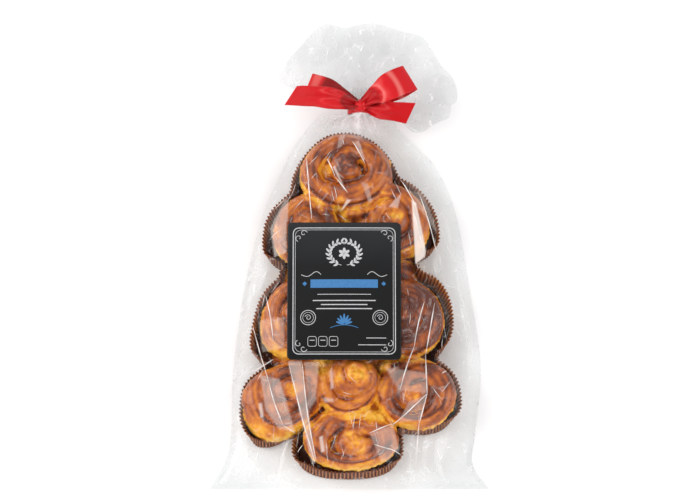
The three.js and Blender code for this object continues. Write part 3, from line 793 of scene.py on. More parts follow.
def make_loaf(material):
    """The loaf with its crust. Its points come back, for the film to lie on."""
    points, normals, faces = fused_loaf()
    top = height_field(points)
    depth, narrow = (
        sample(spread(spread(top, radius), radius, np.minimum), *points[:, :2].T) - points[:, 2]
        for radius in (5, 2)
    )
    bake_and_shade, level, fold = bake_and_shade_tones(points)
    torn = np.clip(-1.6 * bake_and_shade, 0, 1)
    # pit marks the deep valleys between buns, which get painted shade and are partly darker crust too
    pit = smooth(depth, 9, 17) * smooth(level, 0.7, 0.95)
    hidden = smooth(depth, 0.8, 5.0) * (1 - pit)
    low = 1 - smooth(points[:, 2], 24, 35)
    flank = np.clip(low * (1.3 - np.abs(normals[:, 2])), 0, 1) * (1 - pit)
    streaks = rope_streaks(points)
    patches = wobble(points, 13.0, 1)
    spots = wobble(points, 5.5, 7)
    fine = wobble(points, 3.0, 2)
    # crease is painted shade: a dark line at the bottom of narrow creases between rope turns and along
    # the fold above each golden foot side
    crease = smooth(narrow, 0.7, 2.2) * smooth(normals[:, 2], 0.35, 0.75)
    crease = crease * (1 - smooth(level, 0.85, 1.0)) * (1 - torn) + 0.6 * fold
    features = dict(
        hidden=hidden, flank=flank, pit=pit, streaks=streaks, patches=patches, spots=spots,
        fine=fine, crease=crease)
    browned = BAKED + bake_and_shade + sum(BROWNING_AND_SHADE[key] * value for key, value in features.items())
    relief = 0.22 * streaks + 0.16 * fine + 0.9 * fine * np.maximum.reduce([hidden, pit, torn])
    relief = relief - 0.9 * fold + 0.8 * torn * spots
    points = points + normals * relief[:, None]
    attributes = {"browned": np.clip(browned, 0, 1)}
    add_piece("loaf", "bag", material, (points, faces), attributes)
    return points


# Paper case

def outline(spacing):
    """Points along the outline of the loaf, evenly spaced, and the way out at each."""
    def gradient(p):
        steps = np.array([(0.05, 0), (0, 0.05)])
        return np.array([loaf_distance(*(p + e)) - loaf_distance(*(p - e)) for e in steps]) / 0.1

    def settle(p):
        for _ in range(4):
            g = gradient(p)
            p = p - loaf_distance(*p) * g / (g @ g)
        return p

    p = settle(np.array([LOBES[0].x + 0.0, LOBES[0].y + LOBES[0].ry + 0.0]))
    traced = [p]
    while len(traced) < 12 or np.hypot(*(traced[-1] - traced[0])) > 0.6:
        g = gradient(p)
        p = settle(p + 0.5 * left_of(g) / np.hypot(*g))
        traced.append(p)
    closed = np.array(traced[:-1] + traced[:1])
    along = travelled(closed)
    count = 4 * round(along[-1] / spacing / 4)
    wanted = np.linspace(0, along[-1], count, endpoint=False)
    even = np.stack([np.interp(wanted, along, closed[:, k]) for k in (0, 1)], -1)
    ahead = np.roll(even, -1, 0) - np.roll(even, 1, 0)
    normal = np.stack([ahead[:, 1], -ahead[:, 0]], -1)
    return even, normal / np.linalg.norm(normal, axis=1)[:, None]


def make_case(material):
    """The pleated wall with its thickness, and the paper under the loaf."""
    rim, normal = outline(FLUTE_PITCH / FLUTE_POINTS)
    count = len(rim)
    phase = np.arange(count) * round(count / FLUTE_POINTS) / count
    pleat = np.abs((phase % 1) * 2 - 1) * 2 - 1
    pleat = np.sign(pleat) * np.abs(pleat) ** 0.7
    lean_wave, rim_wave = (
        0.9 * wobble(np.c_[rim, np.zeros(count)], scale, seed) for scale, seed in ((26.0, 3), (8.0, 4))
    )
    near = smooth(-normal[:, 1], 0.1, 0.95)
    levels = np.linspace(0, 1, 9)
    rings = []
    for side, order in ((1, levels), (-1, levels[::-1])):
        for level in order:
            lean = -WALL_LEAN * (1 - level) + (lean_wave - RIM_LEAN_NEAR * near) * level
            depth = FLUTE_DEPTH * lerp(0.8, 1.1, level)
            offset = lean + depth * pleat + side * PAPER_THICKNESS / 2
            height = level * (WALL_HEIGHT + rim_wave) + 0.4
            rings.append(np.c_[rim + normal * offset[:, None], height])
    # Painted light on the paper: outer pleat ridges lighter as highlights, troughs darker as shade, and
    # the inner face lighter to lift the shade within the wall
    outside = np.clip(0.42 + 0.42 * pleat, 0, 1)
    fold = np.concatenate([np.tile(outside, len(levels)), np.tile(1.05 - 0.6 * outside, len(levels))])
    add_piece("case_wall", "bag", material, hoop(rings), {"fold": fold})
    foot = rim - normal * (WALL_LEAN - 0.2)
    floor = tube([np.c_[foot, np.full(count, z)] for z in (0.4, 0.9)])
    add_piece("case_floor", "bag", material, floor, {"fold": np.full(2 * count, 0.3)})


# Film of the bag

def label_reach(x, y):
    """How far a plan place lies outside the label's outline, negative inside."""
    across = np.abs(x - LABEL_AT[0]) - LABEL_WIDTH / 2
    along = np.abs(y - LABEL_AT[1]) - LABEL_LENGTH / 2
    outside = np.hypot(np.maximum(across, 0), np.maximum(along, 0))
    return outside + np.minimum(np.maximum(across, along), 0)


def label_dome(x, y):
    """How far the label's middle stands over its edge."""
    u = np.abs(x - LABEL_AT[0]) / (LABEL_WIDTH / 2)
    v = np.abs(y - LABEL_AT[1]) / (LABEL_LENGTH / 2)
    return LABEL_CROWN * np.maximum(0, 1 - np.sqrt(u ** 4 + v ** 4))


def bag_edges(y):
    """Left and right edge of the film at each y."""
    dense = through(BAG_ROWS, 400)
    return np.interp(y, dense[:, 0], dense[:, 1]), np.interp(y, dense[:, 0], dense[:, 2])


def edge_distance(x, y):
    """How far inside the film's edge and bottom seam a plan place lies."""
    left, right = bag_edges(y)
    return np.minimum(np.minimum(x - left, right - x), y - BAG_BOTTOM)


def film_form(x, y):
    """Height of the front film of the solid: the skirt round the case and the tent to the tie."""
    to_edge = np.maximum(0, edge_distance(x, y))
    beyond_loaf = np.maximum(0, np.minimum.reduce([lobe_distance(x, y, lobe) for lobe in LOBES]))
    share = to_edge / (to_edge + beyond_loaf + 1e-6)
    skirt = EDGE_THICKNESS + (SKIRT_HEIGHT - EDGE_THICKNESS) * share ** 1.5
    along = np.maximum(0, (NECK[1] - NECK_HALF_LENGTH - y) / TENT_LENGTH)
    middle = lerp(NECK[0], LOBES[0].x, along)
    across = (x - middle) / (NECK_RADIUS + TENT_SPREAD * along)
    crest = lerp(NECK[2] + NECK_RADIUS, TENT_HEIGHT, np.minimum(1, along))
    ridge = crest * (1 - smooth(along, *TENT_FADE)) * smooth(1 - np.abs(across), 0, 1)
    return np.maximum(skirt, ridge)


def draped_film(loaf_points):
    """The lowest height that the front film may take, and its height when it is drawn over
    the loaf and sags a little between what holds it up."""
    inside = edge_distance(PLAN_X, PLAN_Y) > 0
    loaf_top = blurred(spread(height_field(loaf_points), 2), 3)
    case_top = np.where(loaf_distance(PLAN_X, PLAN_Y) < 1.2, WALL_HEIGHT + 1.0, 0)
    held_up = np.maximum(loaf_top, case_top)
    seat = LABEL_EDGE_Z + label_dome(PLAN_X, PLAN_Y) - FILM_CLEARANCE
    seat = np.where(label_reach(PLAN_X, PLAN_Y) < 2, seat, 0)
    blocked = np.maximum.reduce([blurred(held_up, 4), held_up, seat]) + FILM_CLEARANCE
    blocked = np.maximum(blocked, film_form(PLAN_X, PLAN_Y) * 0.9)
    blocked = np.where(inside, blocked, EDGE_THICKNESS / 2)
    height = blocked.copy()
    sag = FILM_SAG * GRID_STEP ** 2
    for _ in range(FILM_ROUNDS):
        beside = [np.roll(height, step, axis) for axis in (0, 1) for step in (1, -1)]
        height = np.where(inside, np.maximum(blocked, sum(beside) / 4 - sag), blocked)
    return held_up + FILM_CLEARANCE, height


# Creases that the photograph shows, each from and to a plan place, with the height and the
# half-width of its ridge. The next list holds milky patches between creases with their strength
# and corners: they are painted reflections of the lamps in the film, and a few are painted
# highlights on the crust's glaze.
CREASES = [
    ((-38, 80), (-33, 22), 1.4, 1.3),
    ((-20, 78), (-13, 61), 1.4, 1.8),
    ((-13, 61), (-2, 47), 1.6, 2.0),
    ((2, 95), (13, 73), 1.2, 1.2),
    ((44, 62), (57, 38), 1.8, 1.6),
    ((54, 38), (65, -8), 2.0, 2.2),
    ((59, 52), (76, -4), 1.6, 1.4),
    ((-73, -42), (-66, -84), 1.5, 1.2),
    ((-84, -68), (-70, -119), 2.0, 1.3),
    ((-70, -119), (-57, -158), 2.0, 1.3),
    ((-57, -158), (-48, -163), 2.4, 3.0),
    ((-83, -110), (-66, -100), 1.8, 1.2),
    ((-53, -103), (-30, -189), 1.4, 1.4),
    ((-41, -103), (-29, -188), 1.4, 1.4),
    ((64, -50), (55, -90), 1.8, 1.3),
    ((55, -90), (43, -127), 1.8, 1.3),
    ((73, -50), (65, -96), 1.5, 1.2),
    ((65, -96), (66, -132), 1.5, 1.2),
    ((66, -132), (59, -157), 1.8, 1.6),
    ((59, -157), (56, -190), 1.4, 1.4),
    ((66, -132), (36, -158), 1.6, 1.4),
    ((16, -166), (36, -157), 1.4, 1.2),
    ((21, -176), (44, -182), 1.4, 1.2),
]
PAINTED_REFLECTIONS = [
    (0.74, [(53, 43.5), (58, 40), (66.3, -1.5), (65.4, -6.5), (56.2, -15.5)]),
    (0.16, [(46, 51), (58, 36), (78, -10), (76, 20), (64, 52)]),
    (0.3, [(32, 34), (46, 51), (42, 33)]),
    (0.2, [(9, 57), (16, 56), (20, 39), (16, 38)]),
    (0.24, [(-84, -76), (-78, -113), (-60, -118), (-46, -164), (-62, -160), (-84, -130)]),
    (0.28, [(-54, -103), (-41, -103), (-29, -190), (-33, -190)]),
    (0.2, [(-40, -104), (-26, -104), (-29, -136), (-36, -146)]),
    (0.17, [(29, -108), (67, -112), (66, -132), (42, -129)]),
    (0.17, [(50, -138), (66, -132), (61, -154), (40, -156)]),
    (0.2, [(16, -166), (37, -157), (42, -177), (33, -189), (26, -190)]),
    (0.45, [(-27, -168), (-23, -166), (-21, -181), (-25, -182)]),
    (0.3, [(-18, -112), (-15, -107), (-13, -126), (-17, -128)]),
    (0.3, [(-24, -133), (-14, -134), (-13, -138), (-22, -138)]),
    (0.4, [(-79, -139), (-75, -138), (-73, -152), (-77, -152)]),
    (0.22, [(-10, 100), (-3, 102), (-7, 88), (-12, 86)]),
    (0.3, [(3, 94), (8, 97), (14, 76), (11, 75)]),
    (0.4, [(-16, 70), (-13, 72), (-3, 49), (-6, 50)]),
    (0.45, [(-10, 29), (-6, 32), (2, 41), (-3, 42)]),
    (0.26, [(-70, 18), (-57, 44), (-53, 44), (-54, -8), (-66, -8)]),
    (0.14, [(-80, -64), (-56, -64), (-56, -92), (-76, -92)]),
]


def ridge(x, y, start, end, rise, half):
    """A straight fold in the film: two flat flanks that meet in a line and fade at its ends."""
    way = np.array(end, float) - start
    length = np.hypot(*way)
    ahead = way / length
    t = ((x - start[0]) * ahead[0] + (y - start[1]) * ahead[1]) / length
    aside = -(x - start[0]) * ahead[1] + (y - start[1]) * ahead[0]
    window = smooth(t, -0.08, 0.12) * smooth(1 - t, -0.08, 0.12)
    return rise * window * np.maximum(0, 1 - np.abs(aside) / half)


def random_folds(x, y, count, seed, centres, lengths, halves, rises, bearing):
    """The sum of many seeded folds. The bearing gives each fold's direction from its place."""
    draw = np.random.default_rng(seed)
    total = np.zeros_like(x)
    for _ in range(count):
        centre = np.array([draw.uniform(*centres[0]), draw.uniform(*centres[1])])
        direction = bearing(*centre, draw)
        reach = draw.uniform(*lengths) / 2 * np.array([math.cos(direction), math.sin(direction)])
        rise = draw.uniform(*rises) * draw.choice((-1, 1, 1))
        total = total + ridge(x, y, centre - reach, centre + reach, rise, draw.uniform(*halves))
    return total


def inside_polygon(x, y, corners, soft):
    """From 1 well inside a convex polygon to 0 outside, over a soft border."""
    least = np.full_like(x, 1e9)
    corners = np.array(corners, float)
    middle = corners.mean(0)
    for a, b in zip(corners, np.roll(corners, -1, 0)):
        inward = left_of((b - a) / np.hypot(*(b - a)))
        if inward @ (middle - a) < 0:
            inward = -inward
        least = np.minimum(least, inward[0] * (x - a[0]) + inward[1] * (y - a[1]))
    return smooth(least, 0, soft)


def from_tie(cx, cy, draw):
    """Folds mostly run away from the tie."""
    return math.atan2(cy - NECK[1], cx - NECK[0]) + draw.normal(0, 0.28)


def any_way(cx, cy, draw):
    return draw.uniform(0, math.pi)


def crumple(x, y):
    """Relief of the front film over its drape: fan folds, loose folds and the named creases.
    It is drawn smoother where the loaf fills it."""
    fan = random_folds(
        x, y, 90, 5, ((-110, 110), (-200, 118)), (40, 150), (2.0, 9.0), (0.5, 1.6), from_tie)
    loose = random_folds(
        x, y, 70, 6, ((-115, 115), (-205, 110)), (15, 60), (3.0, 12.0), (0.4, 1.2), any_way)
    slack = lerp(0.3, 1.0, smooth(loaf_distance(x, y), -4, 6))
    return (fan + loose) * slack + sum(ridge(x, y, *crease) for crease in CREASES)


def pleats_from_tie(x, y):
    """Gathers that fan out below the tie and fade."""
    bearing = np.arctan2(x - NECK[0], NECK[1] - y + 12)
    reach = np.hypot(x - NECK[0], y - NECK[1])
    waves = np.sin(13 * bearing) + 0.5 * np.sin(22 * bearing + 1) + 0.25 * np.sin(37 * bearing + 2)
    return 0.8 * waves * smooth(75 - reach, 0, 75)


def make_bag(material, loaf_points):
    """Front and back film from the bottom seam to the tie, where its gathers shut the neck."""
    lowest, height = draped_film(loaf_points)

    def film_height(x, y):
        """Height of the front film, whose relief fades at its edge and at the label."""
        loose = smooth(label_reach(x, y), 1, 9) * smooth(edge_distance(x, y), 0, 9)
        relief = (crumple(x, y) + pleats_from_tie(x, y)) * loose
        floor = np.maximum(sample(lowest, x, y), EDGE_THICKNESS * 0.7)
        return np.maximum(sample(height, x, y) + relief, floor)

    shoulder = BAG_ROWS[-1][0]
    tie = NECK[1] - NECK_HALF_LENGTH
    body_rows = round((shoulder - BAG_BOTTOM) / FILM_STEP)
    rows = [(y, 0.0) for y in np.linspace(BAG_BOTTOM, shoulder, body_rows)]
    for turn in np.linspace(0, math.pi / 2, 11)[1:]:
        rows.append((lerp(shoulder, tie, math.sin(turn)), 1 - math.cos(turn)))
    rows += [(lerp(tie, NECK[1] + NECK_HALF_LENGTH, t), 1.0) for t in (0.25, 0.5, 0.75, 1.0)]
    across = np.linspace(-1, 1, FRONT_COLUMNS)
    angle = math.pi * (1 - across) / 2
    gather = NECK_RADIUS * (0.97 - 0.07 * np.abs(np.sin(11 * angle)))
    back_across = np.linspace(1, -1, BACK_COLUMNS + 2)[1:-1]
    back_angle = math.pi * (1 - back_across) / 2
    strands = 0.82 + 0.18 * np.sin(11 * across + 3 * np.sin(5 * across))
    points = []
    veil = []
    whites = []
    for y, gathered in rows:
        left, right = bag_edges(y)
        x = lerp(left, right, (across + 1) / 2)
        ys = np.full_like(x, y)
        z = film_height(x, ys)
        z = np.where(label_reach(x, ys) < 1.2, LABEL_EDGE_Z + label_dome(x, ys), z)
        puff = NECK_PUFF * math.sin(math.pi * gathered)
        front = np.stack([
            lerp(x, NECK[0] + gather * np.cos(angle), gathered),
            ys + puff * across ** 2,
            lerp(z, NECK[2] + gather * np.sin(angle), gathered),
        ], -1)
        back_x = lerp(left, right, (back_across + 1) / 2)
        back = np.stack([
            lerp(back_x, NECK[0] + NECK_RADIUS * np.cos(back_angle), gathered),
            y + puff * back_across ** 2,
            lerp(BACK_HEIGHT, NECK[2] - NECK_RADIUS * np.sin(back_angle), gathered),
        ], -1)
        points.append(np.vstack([front, back]))
        # Painted reflections of the lamps over the film, kept off the label
        milky = sum(strength * inside_polygon(x, ys, corners, 1.2) for strength, corners in PAINTED_REFLECTIONS)
        milky = milky * smooth(label_reach(x, ys), 0, 2)
        veil.append(np.concatenate([milky, np.zeros(BACK_COLUMNS)]))
        # The white attribute is painted light. Beside the loaf it lifts the shade that the loaf casts
        # on the floor under the film, most of all below the lowest bun, with wavy bands of painted
        # reflection; near the tie it lifts the shade under the bow and whitens the gathered film, which
        # is also milky of itself.
        beside = smooth(loaf_distance(x, ys), -1, 7) * smooth(edge_distance(x, ys), 1, 8)
        bands = smooth(wobble(np.c_[15 * across, ys / 55, 0 * x], 1.0, 21), 0.0, 0.9)
        fan = smooth(np.hypot(x - NECK[0], ys - tie), GATHER_REACH, 2) * strands
        low = smooth(-140 - y, 0, 35)
        white = np.maximum(NECK_WHITE * gathered, 0.7 * fan)
        white = white + beside * (0.07 + 0.2 * bands + 0.15 * low)
        whites.append(np.concatenate([white, np.full(BACK_COLUMNS, NECK_WHITE * gathered)]))
    end = np.array([NECK[0], NECK[1] + NECK_HALF_LENGTH, NECK[2]])
    ring = points[-1] - end
    # The bundle in the mouth keeps that painted light, in streaks round the neck
    neck_white = whites[-1] * (0.7 + 0.3 * np.sin(17 * np.arctan2(ring[:, 2], ring[:, 0])))
    for out, wide, high, bright in NECK_BUNDLE:
        points.append(end + ring * (wide, 1, high) + (0, out, 0))
        veil.append(veil[-1])
        whites.append(bright * neck_white)
    faces = grid_faces(len(points), FRONT_COLUMNS + BACK_COLUMNS, closed=True)
    points = np.concatenate(points)
    from_loaf = loaf_distance(points[:, 0], points[:, 1])
    attributes = {
        "veil": np.concatenate(veil),
        "dim": HEM_DIM * smooth(from_loaf, 6, 30) * smooth(HEM_TOP - points[:, 1], 0, 40),
        "crumpled": lerp(0.2, 0.4, smooth(from_loaf, -6, 6)) * (points[:, 2] > 1),
        "white": np.concatenate(whites),
    }
    add_piece("bag_film", "bag", material, (points, faces), attributes)
    return film_height


def make_folds(material, film_height):
    """Sharp folds of the film as hair-fine raised lines that catch the light, each with a painted
    highlight that flickers along it: the named creases, short crinkles over the loaf and long
    folds in the loose film beside it."""
    draw = np.random.default_rng(77)
    folds = [(start, end, 0.9, 0.85, 0) for start, end, _, _ in CREASES]
    for index in range(FINE_FOLDS + CRINKLES):
        beside = index < FINE_FOLDS
        cx = draw.uniform(-110, 110) if beside else draw.uniform(-85, 85)
        cy = draw.uniform(-200, 110)
        direction = from_tie(cx, cy, draw) if draw.uniform() < 0.7 else any_way(cx, cy, draw)
        reach = draw.uniform(8, 34) if beside else draw.uniform(2, 8)
        way = np.array([math.cos(direction), math.sin(direction)]) * reach
        width = draw.uniform(0.3, 0.7)
        strength = draw.uniform(0.3, 0.7)
        folds.append(((cx, cy) - way, (cx, cy) + way, width, strength, 1 if beside else -1))
    parts = []
    veil = []
    for start, end, width, strength, side_of_loaf in folds:
        way = np.array(end, float) - start
        length = float(np.hypot(*way))
        t = np.linspace(0, 1, max(8, round(length / 1.5)))
        bend = draw.normal(0, 0.012) * length * np.sin(math.pi * t)
        aside = left_of(way) / length
        path = start + np.outer(t, way) + np.outer(bend, aside)
        x, y = path.T
        left, right = bag_edges(y)
        clear = (x > left + 3) & (x < right - 3) & (y > BAG_BOTTOM + 3) & (label_reach(x, y) > 2)
        clear &= side_of_loaf * (loaf_distance(x, y) + 2) >= 0
        path = path[clear]
        if len(path) < 6:
            continue
        z = film_height(*path.T)
        half = width / 2 * np.sqrt(np.sin(math.pi * np.linspace(0.03, 0.97, len(path))))
        side = np.outer(half, aside)
        parts.append(tube(np.stack([
            np.c_[path - side, z - 0.1],
            np.c_[path + side, z - 0.1],
            np.c_[path, z + 0.45 * width],
        ], 1)))
        # A painted highlight along the fold, brighter and dimmer along its length
        bright = 0.75 + 0.35 * np.sin(np.arange(len(path)) * 0.55 + draw.uniform(0, TAU))
        veil.append(np.repeat(strength * np.clip(bright, 0.3, 1), 3))
    shape = merged(parts)
    attributes = {"veil": np.concatenate(veil), "crumpled": np.zeros(len(shape[0]))}
    add_piece("bag_folds", "bag", material, shape, attributes, False)


def make_mouth(material):
    """The crumpled mouth above the tie, two sheets that part at its edge."""
    across_count = 150
    reach = through(MOUTH_REACH, across_count)
    edge = reach[:, 1:] * np.c_[np.cos(np.radians(reach[:, 0])), np.sin(np.radians(reach[:, 0]))]
    i = np.linspace(0, 1, across_count)
    inward = np.sqrt(np.maximum(0, np.sin(math.pi * i)))
    leave_x = NECK[0] + 0.8 * NECK_RADIUS * np.cos(math.pi * i)
    leave_y = NECK[1] + NECK_HALF_LENGTH - 0.5
    sheets = []
    for side in (1, -1):
        rows = []
        for share in np.linspace(0, 1, 62):
            ruffle = 0.7 * np.sin(RUFFLE_WAVES * TAU * i + 2.2 * share)
            swell = 0.5 * np.sin(SWELL_WAVES * TAU * i - share)
            wave = RUFFLE_HEIGHT * share ** 1.3 * (ruffle + swell) * lerp(0.45, 1, inward)
            bundle = lerp(MOUTH_BUNDLE, MOUTH_EDGE, min(1, share * 2.2)) * lerp(0.55, 1, inward)
            x = lerp(leave_x, NECK[0] + edge[:, 0], share)
            y = lerp(leave_y, NECK[1] + edge[:, 1], share ** MOUTH_SPREAD)
            fan = random_folds(
                x, y, 60, 8 + side, MOUTH_AREA, (20, 80), (1.5, 6), (0.6, 2.2), from_tie)
            loose = random_folds(
                x, y, 110, 18 + side, MOUTH_AREA, (8, 34), (1.5, 5), (0.5, 1.8), any_way)
            folds = fan + loose
            gathers = 1.1 * np.sin(46 * i + side) * (1 - share) ** 1.5
            free = smooth(share, 0.0, 0.25) * lerp(0.5, 1, inward)
            z = NECK[2] - MOUTH_DROOP * share + wave + side * bundle
            z = z + (side * np.abs(folds) + folds) * 0.5 * free + gathers
            rows.append(np.stack([x, y, z], -1))
        sheets.append(np.array(rows)[:, ::side])
    rings = np.concatenate(sheets, 1)
    faces = grid_faces(*rings.shape[:2], closed=True)
    points = rings.reshape(-1, 3)
    attributes = {"veil": np.full(len(points), 0.015), "crumpled": np.full(len(points), 0.8)}
    add_piece("bag_mouth", "bag", material, (points, faces), attributes)


# Label

def on_label(at, lift=0.0):
    """Points at places measured from the label's middle, lifted off its face."""
    x, y = (np.asarray(at, float) + LABEL_AT).T
    return np.c_[x, y, LABEL_EDGE_Z + LABEL_GAP + LABEL_THICKNESS + label_dome(x, y) + lift]


def rounded_rectangle(width, length, corner, steps=8):
    inner = np.array([width / 2 - corner, length / 2 - corner])
    points = []
    for quarter, signs in enumerate([(1, 1), (-1, 1), (-1, -1), (1, -1)]):
        for i in range(steps + 1):
            points.append(inner * signs + corner * heading(90 * (quarter + i / steps)))
    return np.array(points)


def densely(corners, steps):
    """The closed path through the corners with more points on each side."""
    sides = zip(corners, np.roll(corners, -1, 0))
    return np.vstack([np.linspace(a, b, steps, endpoint=False) for a, b in sides])


def make_label(material):
    """The label's card, with a soft edge and its slight crown."""
    edge = rounded_rectangle(LABEL_WIDTH, LABEL_LENGTH, LABEL_CORNER)
    scales = [0.06, 0.2, 0.35, 0.5, 0.65, 0.8, 0.92, 0.985]
    rings = [on_label(edge * scale, -LABEL_THICKNESS) for scale in scales]
    rings += [on_label(edge, -LABEL_THICKNESS * drop) for drop in (0.6, 0.2)]
    rings += [on_label(edge * scale) for scale in scales[::-1]]
    add_piece("label_card", "label", material, tube(rings))


def stroke(path, width, closed=False):
    """A thin printed line along places measured from the label's middle."""
    path = np.array(path, float)
    if closed:
        ahead = np.roll(path, -1, 0) - np.roll(path, 1, 0)
    else:
        ahead = np.gradient(path, axis=0)
    ahead /= np.linalg.norm(ahead, axis=1)[:, None] + 1e-9
    aside = np.stack([-ahead[:, 1], ahead[:, 0]], -1) * width / 2
    section = ((-1, PRINT_HEIGHT), (1, PRINT_HEIGHT), (1, -PRINT_DEPTH), (-1, -PRINT_DEPTH))
    rings = np.stack([on_label(path + sign * aside, lift) for sign, lift in section], 1)
    return hoop(rings) if closed else tube(rings)


def rule(start, end, y, width, count):
    """A straight printed line."""
    return stroke(np.c_[np.linspace(start, end, count), np.full(count, y)], width)


def plate(edge):
    """A printed area inside an outline measured from the label's middle."""
    return tube([on_label(edge, -PRINT_DEPTH), on_label(edge, PRINT_HEIGHT)])


def arc(centre, radius, start, end, count, squash=1.0):
    angle = np.radians(np.linspace(start, end, count))
    return np.c_[centre[0] + radius * np.cos(angle), centre[1] + squash * radius * np.sin(angle)]


def curl(centre, radius, start, turns, grow):
    """A scroll that winds outwards from a small circle."""
    t = np.linspace(0, 1, 30)
    angle = math.radians(start) + TAU * turns * t
    away = radius * (0.25 + 0.75 * t ** grow)
    return np.c_[centre[0] + away * np.cos(angle), centre[1] + away * np.sin(angle)]


def leaf(root, bearing, length, width):
    t = np.linspace(0, math.pi, 9)
    half = width / 2 * np.sin(t)
    out = length * (1 - np.cos(t)) / 2
    middle = root + np.outer(out, heading(bearing))
    aside = np.outer(half, left_of(heading(bearing)))
    return np.vstack([middle - aside, (middle + aside)[-2:0:-1]])


def make_print(white, blue):
    """A plain generic design: a ruled border, corner scrolls, a wreath with a blossom, a blue
    band, rows of rules, two small rings and a blue sprig."""
    corner = np.array([LABEL_WIDTH / 2 - 12.5, LABEL_LENGTH / 2 - 12.5])
    pale = []
    for inset, line in ((5.0, 0.75), (6.8, 0.35)):
        border = rounded_rectangle(LABEL_WIDTH - 2 * inset, LABEL_LENGTH - 2 * inset, 5.0, 6)
        pale.append(stroke(densely(border, 8), line, closed=True))
    for sx in (-1, 1):
        for sy in (-1, 1):
            for turn, lean, shift in ((1, 0, (-1.5, 2.6)), (-1, 90, (2.6, -1.5))):
                scroll = curl((0, 0), 3.2, 200 * turn + lean, 0.9 * turn, 1.2)
                pale.append(stroke((scroll + corner + shift) * (sx, sy), 0.5))
    wreath = (0, 33)
    for sx in (-1, 1):
        stem = arc((0, 0), 13, -80, 72, 26, 0.82)
        pale.append(stroke(stem * (sx, 1) + wreath, 0.45))
        for angle in range(-66, 80, 18):
            for tilt in (48, 128):
                blade = leaf(heading(angle) * (13, 10.7), angle + tilt, 4.2, 1.7)
                pale.append(plate((blade * (sx, 1) + wreath)[::sx]))
    for petal in range(6):
        pale.append(plate(leaf(wreath, 60 * petal + 30, 5.2, 2.6)))
    for y, half, line in ((-3.5, 23, 0.5), (-9.0, 27, 0.85), (-12.6, 20, 0.85), (-16.2, 24, 0.85)):
        pale.append(rule(-half, half, y, line, 40))
    for sx in (-1, 1):
        ring = (sx * 31, -24)
        pale.append(stroke(arc(ring, 6.4, 0, 354, 48), 0.55, closed=True))
        pale.append(stroke(arc(ring, 4.6, 0, 350, 36), 0.3, closed=True))
        pale.append(stroke(curl(ring, 2.8, 90, 1.2, 1.0), 0.45))
        t = np.linspace(0, 1, 30)
        pale.append(stroke(np.c_[(20 + 17 * t) * sx, 14 + 3.2 * np.sin(TAU * t) * (1 - 0.7 * t)], 0.5))
    for k in range(3):
        tablet = rounded_rectangle(7.4, 8.6, 1.8, 4) + (-27.5 + 9.2 * k, -45)
        pale.append(stroke(densely(tablet, 4), 0.4, closed=True))
        pale.append(rule(-29.6 + 9.2 * k, -25.4 + 9.2 * k, -44, 0.6, 2))
    for y, start in ((-42, 19), (-48, 12)):
        pale.append(rule(start, 36, y, 0.6, 20))
    tint = [rule(-29, 29, 6.0, 7.4, 60)]
    for sx in (-1, 1):
        tint.append(plate(np.array([(32, 6), (34, 8), (36, 6), (34, 4)])[::sx] * (sx, 1)))
    for k in range(-3, 4):
        tint.append(plate(leaf((0, -30), 90 + 24 * k, 9.5 - 0.7 * abs(k), 1.9)))
    for sx in (-1, 1):
        t = np.linspace(0, 1, 14)
        tint.append(stroke(np.c_[12 * t * sx, -30.5 - (1.6 * t) ** 2], 0.5))
    for name, parts, material in (("label_print_pale", pale, white), ("label_print_blue", tint, blue)):
        add_piece(name, None, material, merged(parts), smooth_shading=False)


# Ribbon

def ribbon_strip(bearing, roll, stations, skew=0.0, seed=0):
    """A satin band along a path of stations, turned about its length by its roll. Where it is
    narrow it is gathered in folds. Also its places across, along and out from the knot."""
    steps = 26 * (len(stations) - 1)
    middle = through(stations, steps + 1)
    length = max(out for out, _, _ in stations)
    ahead = np.array([*heading(bearing), 0])
    aside = np.array([*left_of(heading(bearing)), 0])
    up = np.array([0, 0, 1.0])
    slope = np.gradient(middle[:, :2], axis=0)
    slope /= np.linalg.norm(slope, axis=1)[:, None]
    along = travelled(middle[:, :2])
    side = np.linspace(-1, 1, 29)
    phase = np.random.default_rng(seed).uniform(0, TAU, 3)
    surfaces = []
    for face in (1, -1):
        rows = []
        for i, (out, rise, width) in enumerate(middle):
            wave = 2.6 * (1 - width / RIBBON_WIDTH) * np.cos(TAU * side + phase[0])
            belly = 0.5 * np.sin(along[i] / 9 + phase[1]) * side
            lift = wave + belly + face * RIBBON_THICKNESS / 2
            slant = skew * side * smooth(i / steps, 0.8, 1.0)
            normal = slope[i, 0] * up - slope[i, 1] * ahead
            tilt = roll * smooth(out / length, 0.1, 0.7)
            across = aside * math.cos(tilt) + normal * math.sin(tilt)
            rows.append(
                np.array(KNOT) + ahead * out + up * rise
                + np.outer(slant, ahead)
                + np.outer(side * width / 2, across)
                + np.outer(lift, normal * math.cos(tilt) - aside * math.sin(tilt))
            )
        surfaces.append(np.array(rows)[:, ::face])
    shape = tube(np.concatenate(surfaces, 1))
    both = 2 * len(side)
    across = np.tile(np.concatenate([side, side[::-1]]), steps + 1)
    return shape, across, np.repeat(along, both), np.repeat(middle[:, 0], both)


def ribbon_knot():
    """The pinched wrap over the tie, a short band with folds along it."""
    theta = circle(64)
    rings = []
    for q in np.linspace(-1, 1, 41):
        girth = math.sqrt(max(0.0, 1 - abs(q) ** 2.6)) * 0.9 + 0.1
        folds = girth * (1 + 0.10 * np.cos(3.2 * math.pi * q + 1.1 * np.sin(theta)))
        rings.append(np.stack([
            KNOT[0] + KNOT_SIZE[0] * 0.92 * q + 0.9 * np.sin(theta),
            KNOT[1] + KNOT_SIZE[1] * folds * np.cos(theta),
            KNOT[2] + KNOT_SIZE[2] * folds * np.sin(theta),
        ], -1))
    return tube(rings), np.zeros(41 * 64), np.repeat(np.linspace(0, 12, 41), 64), None


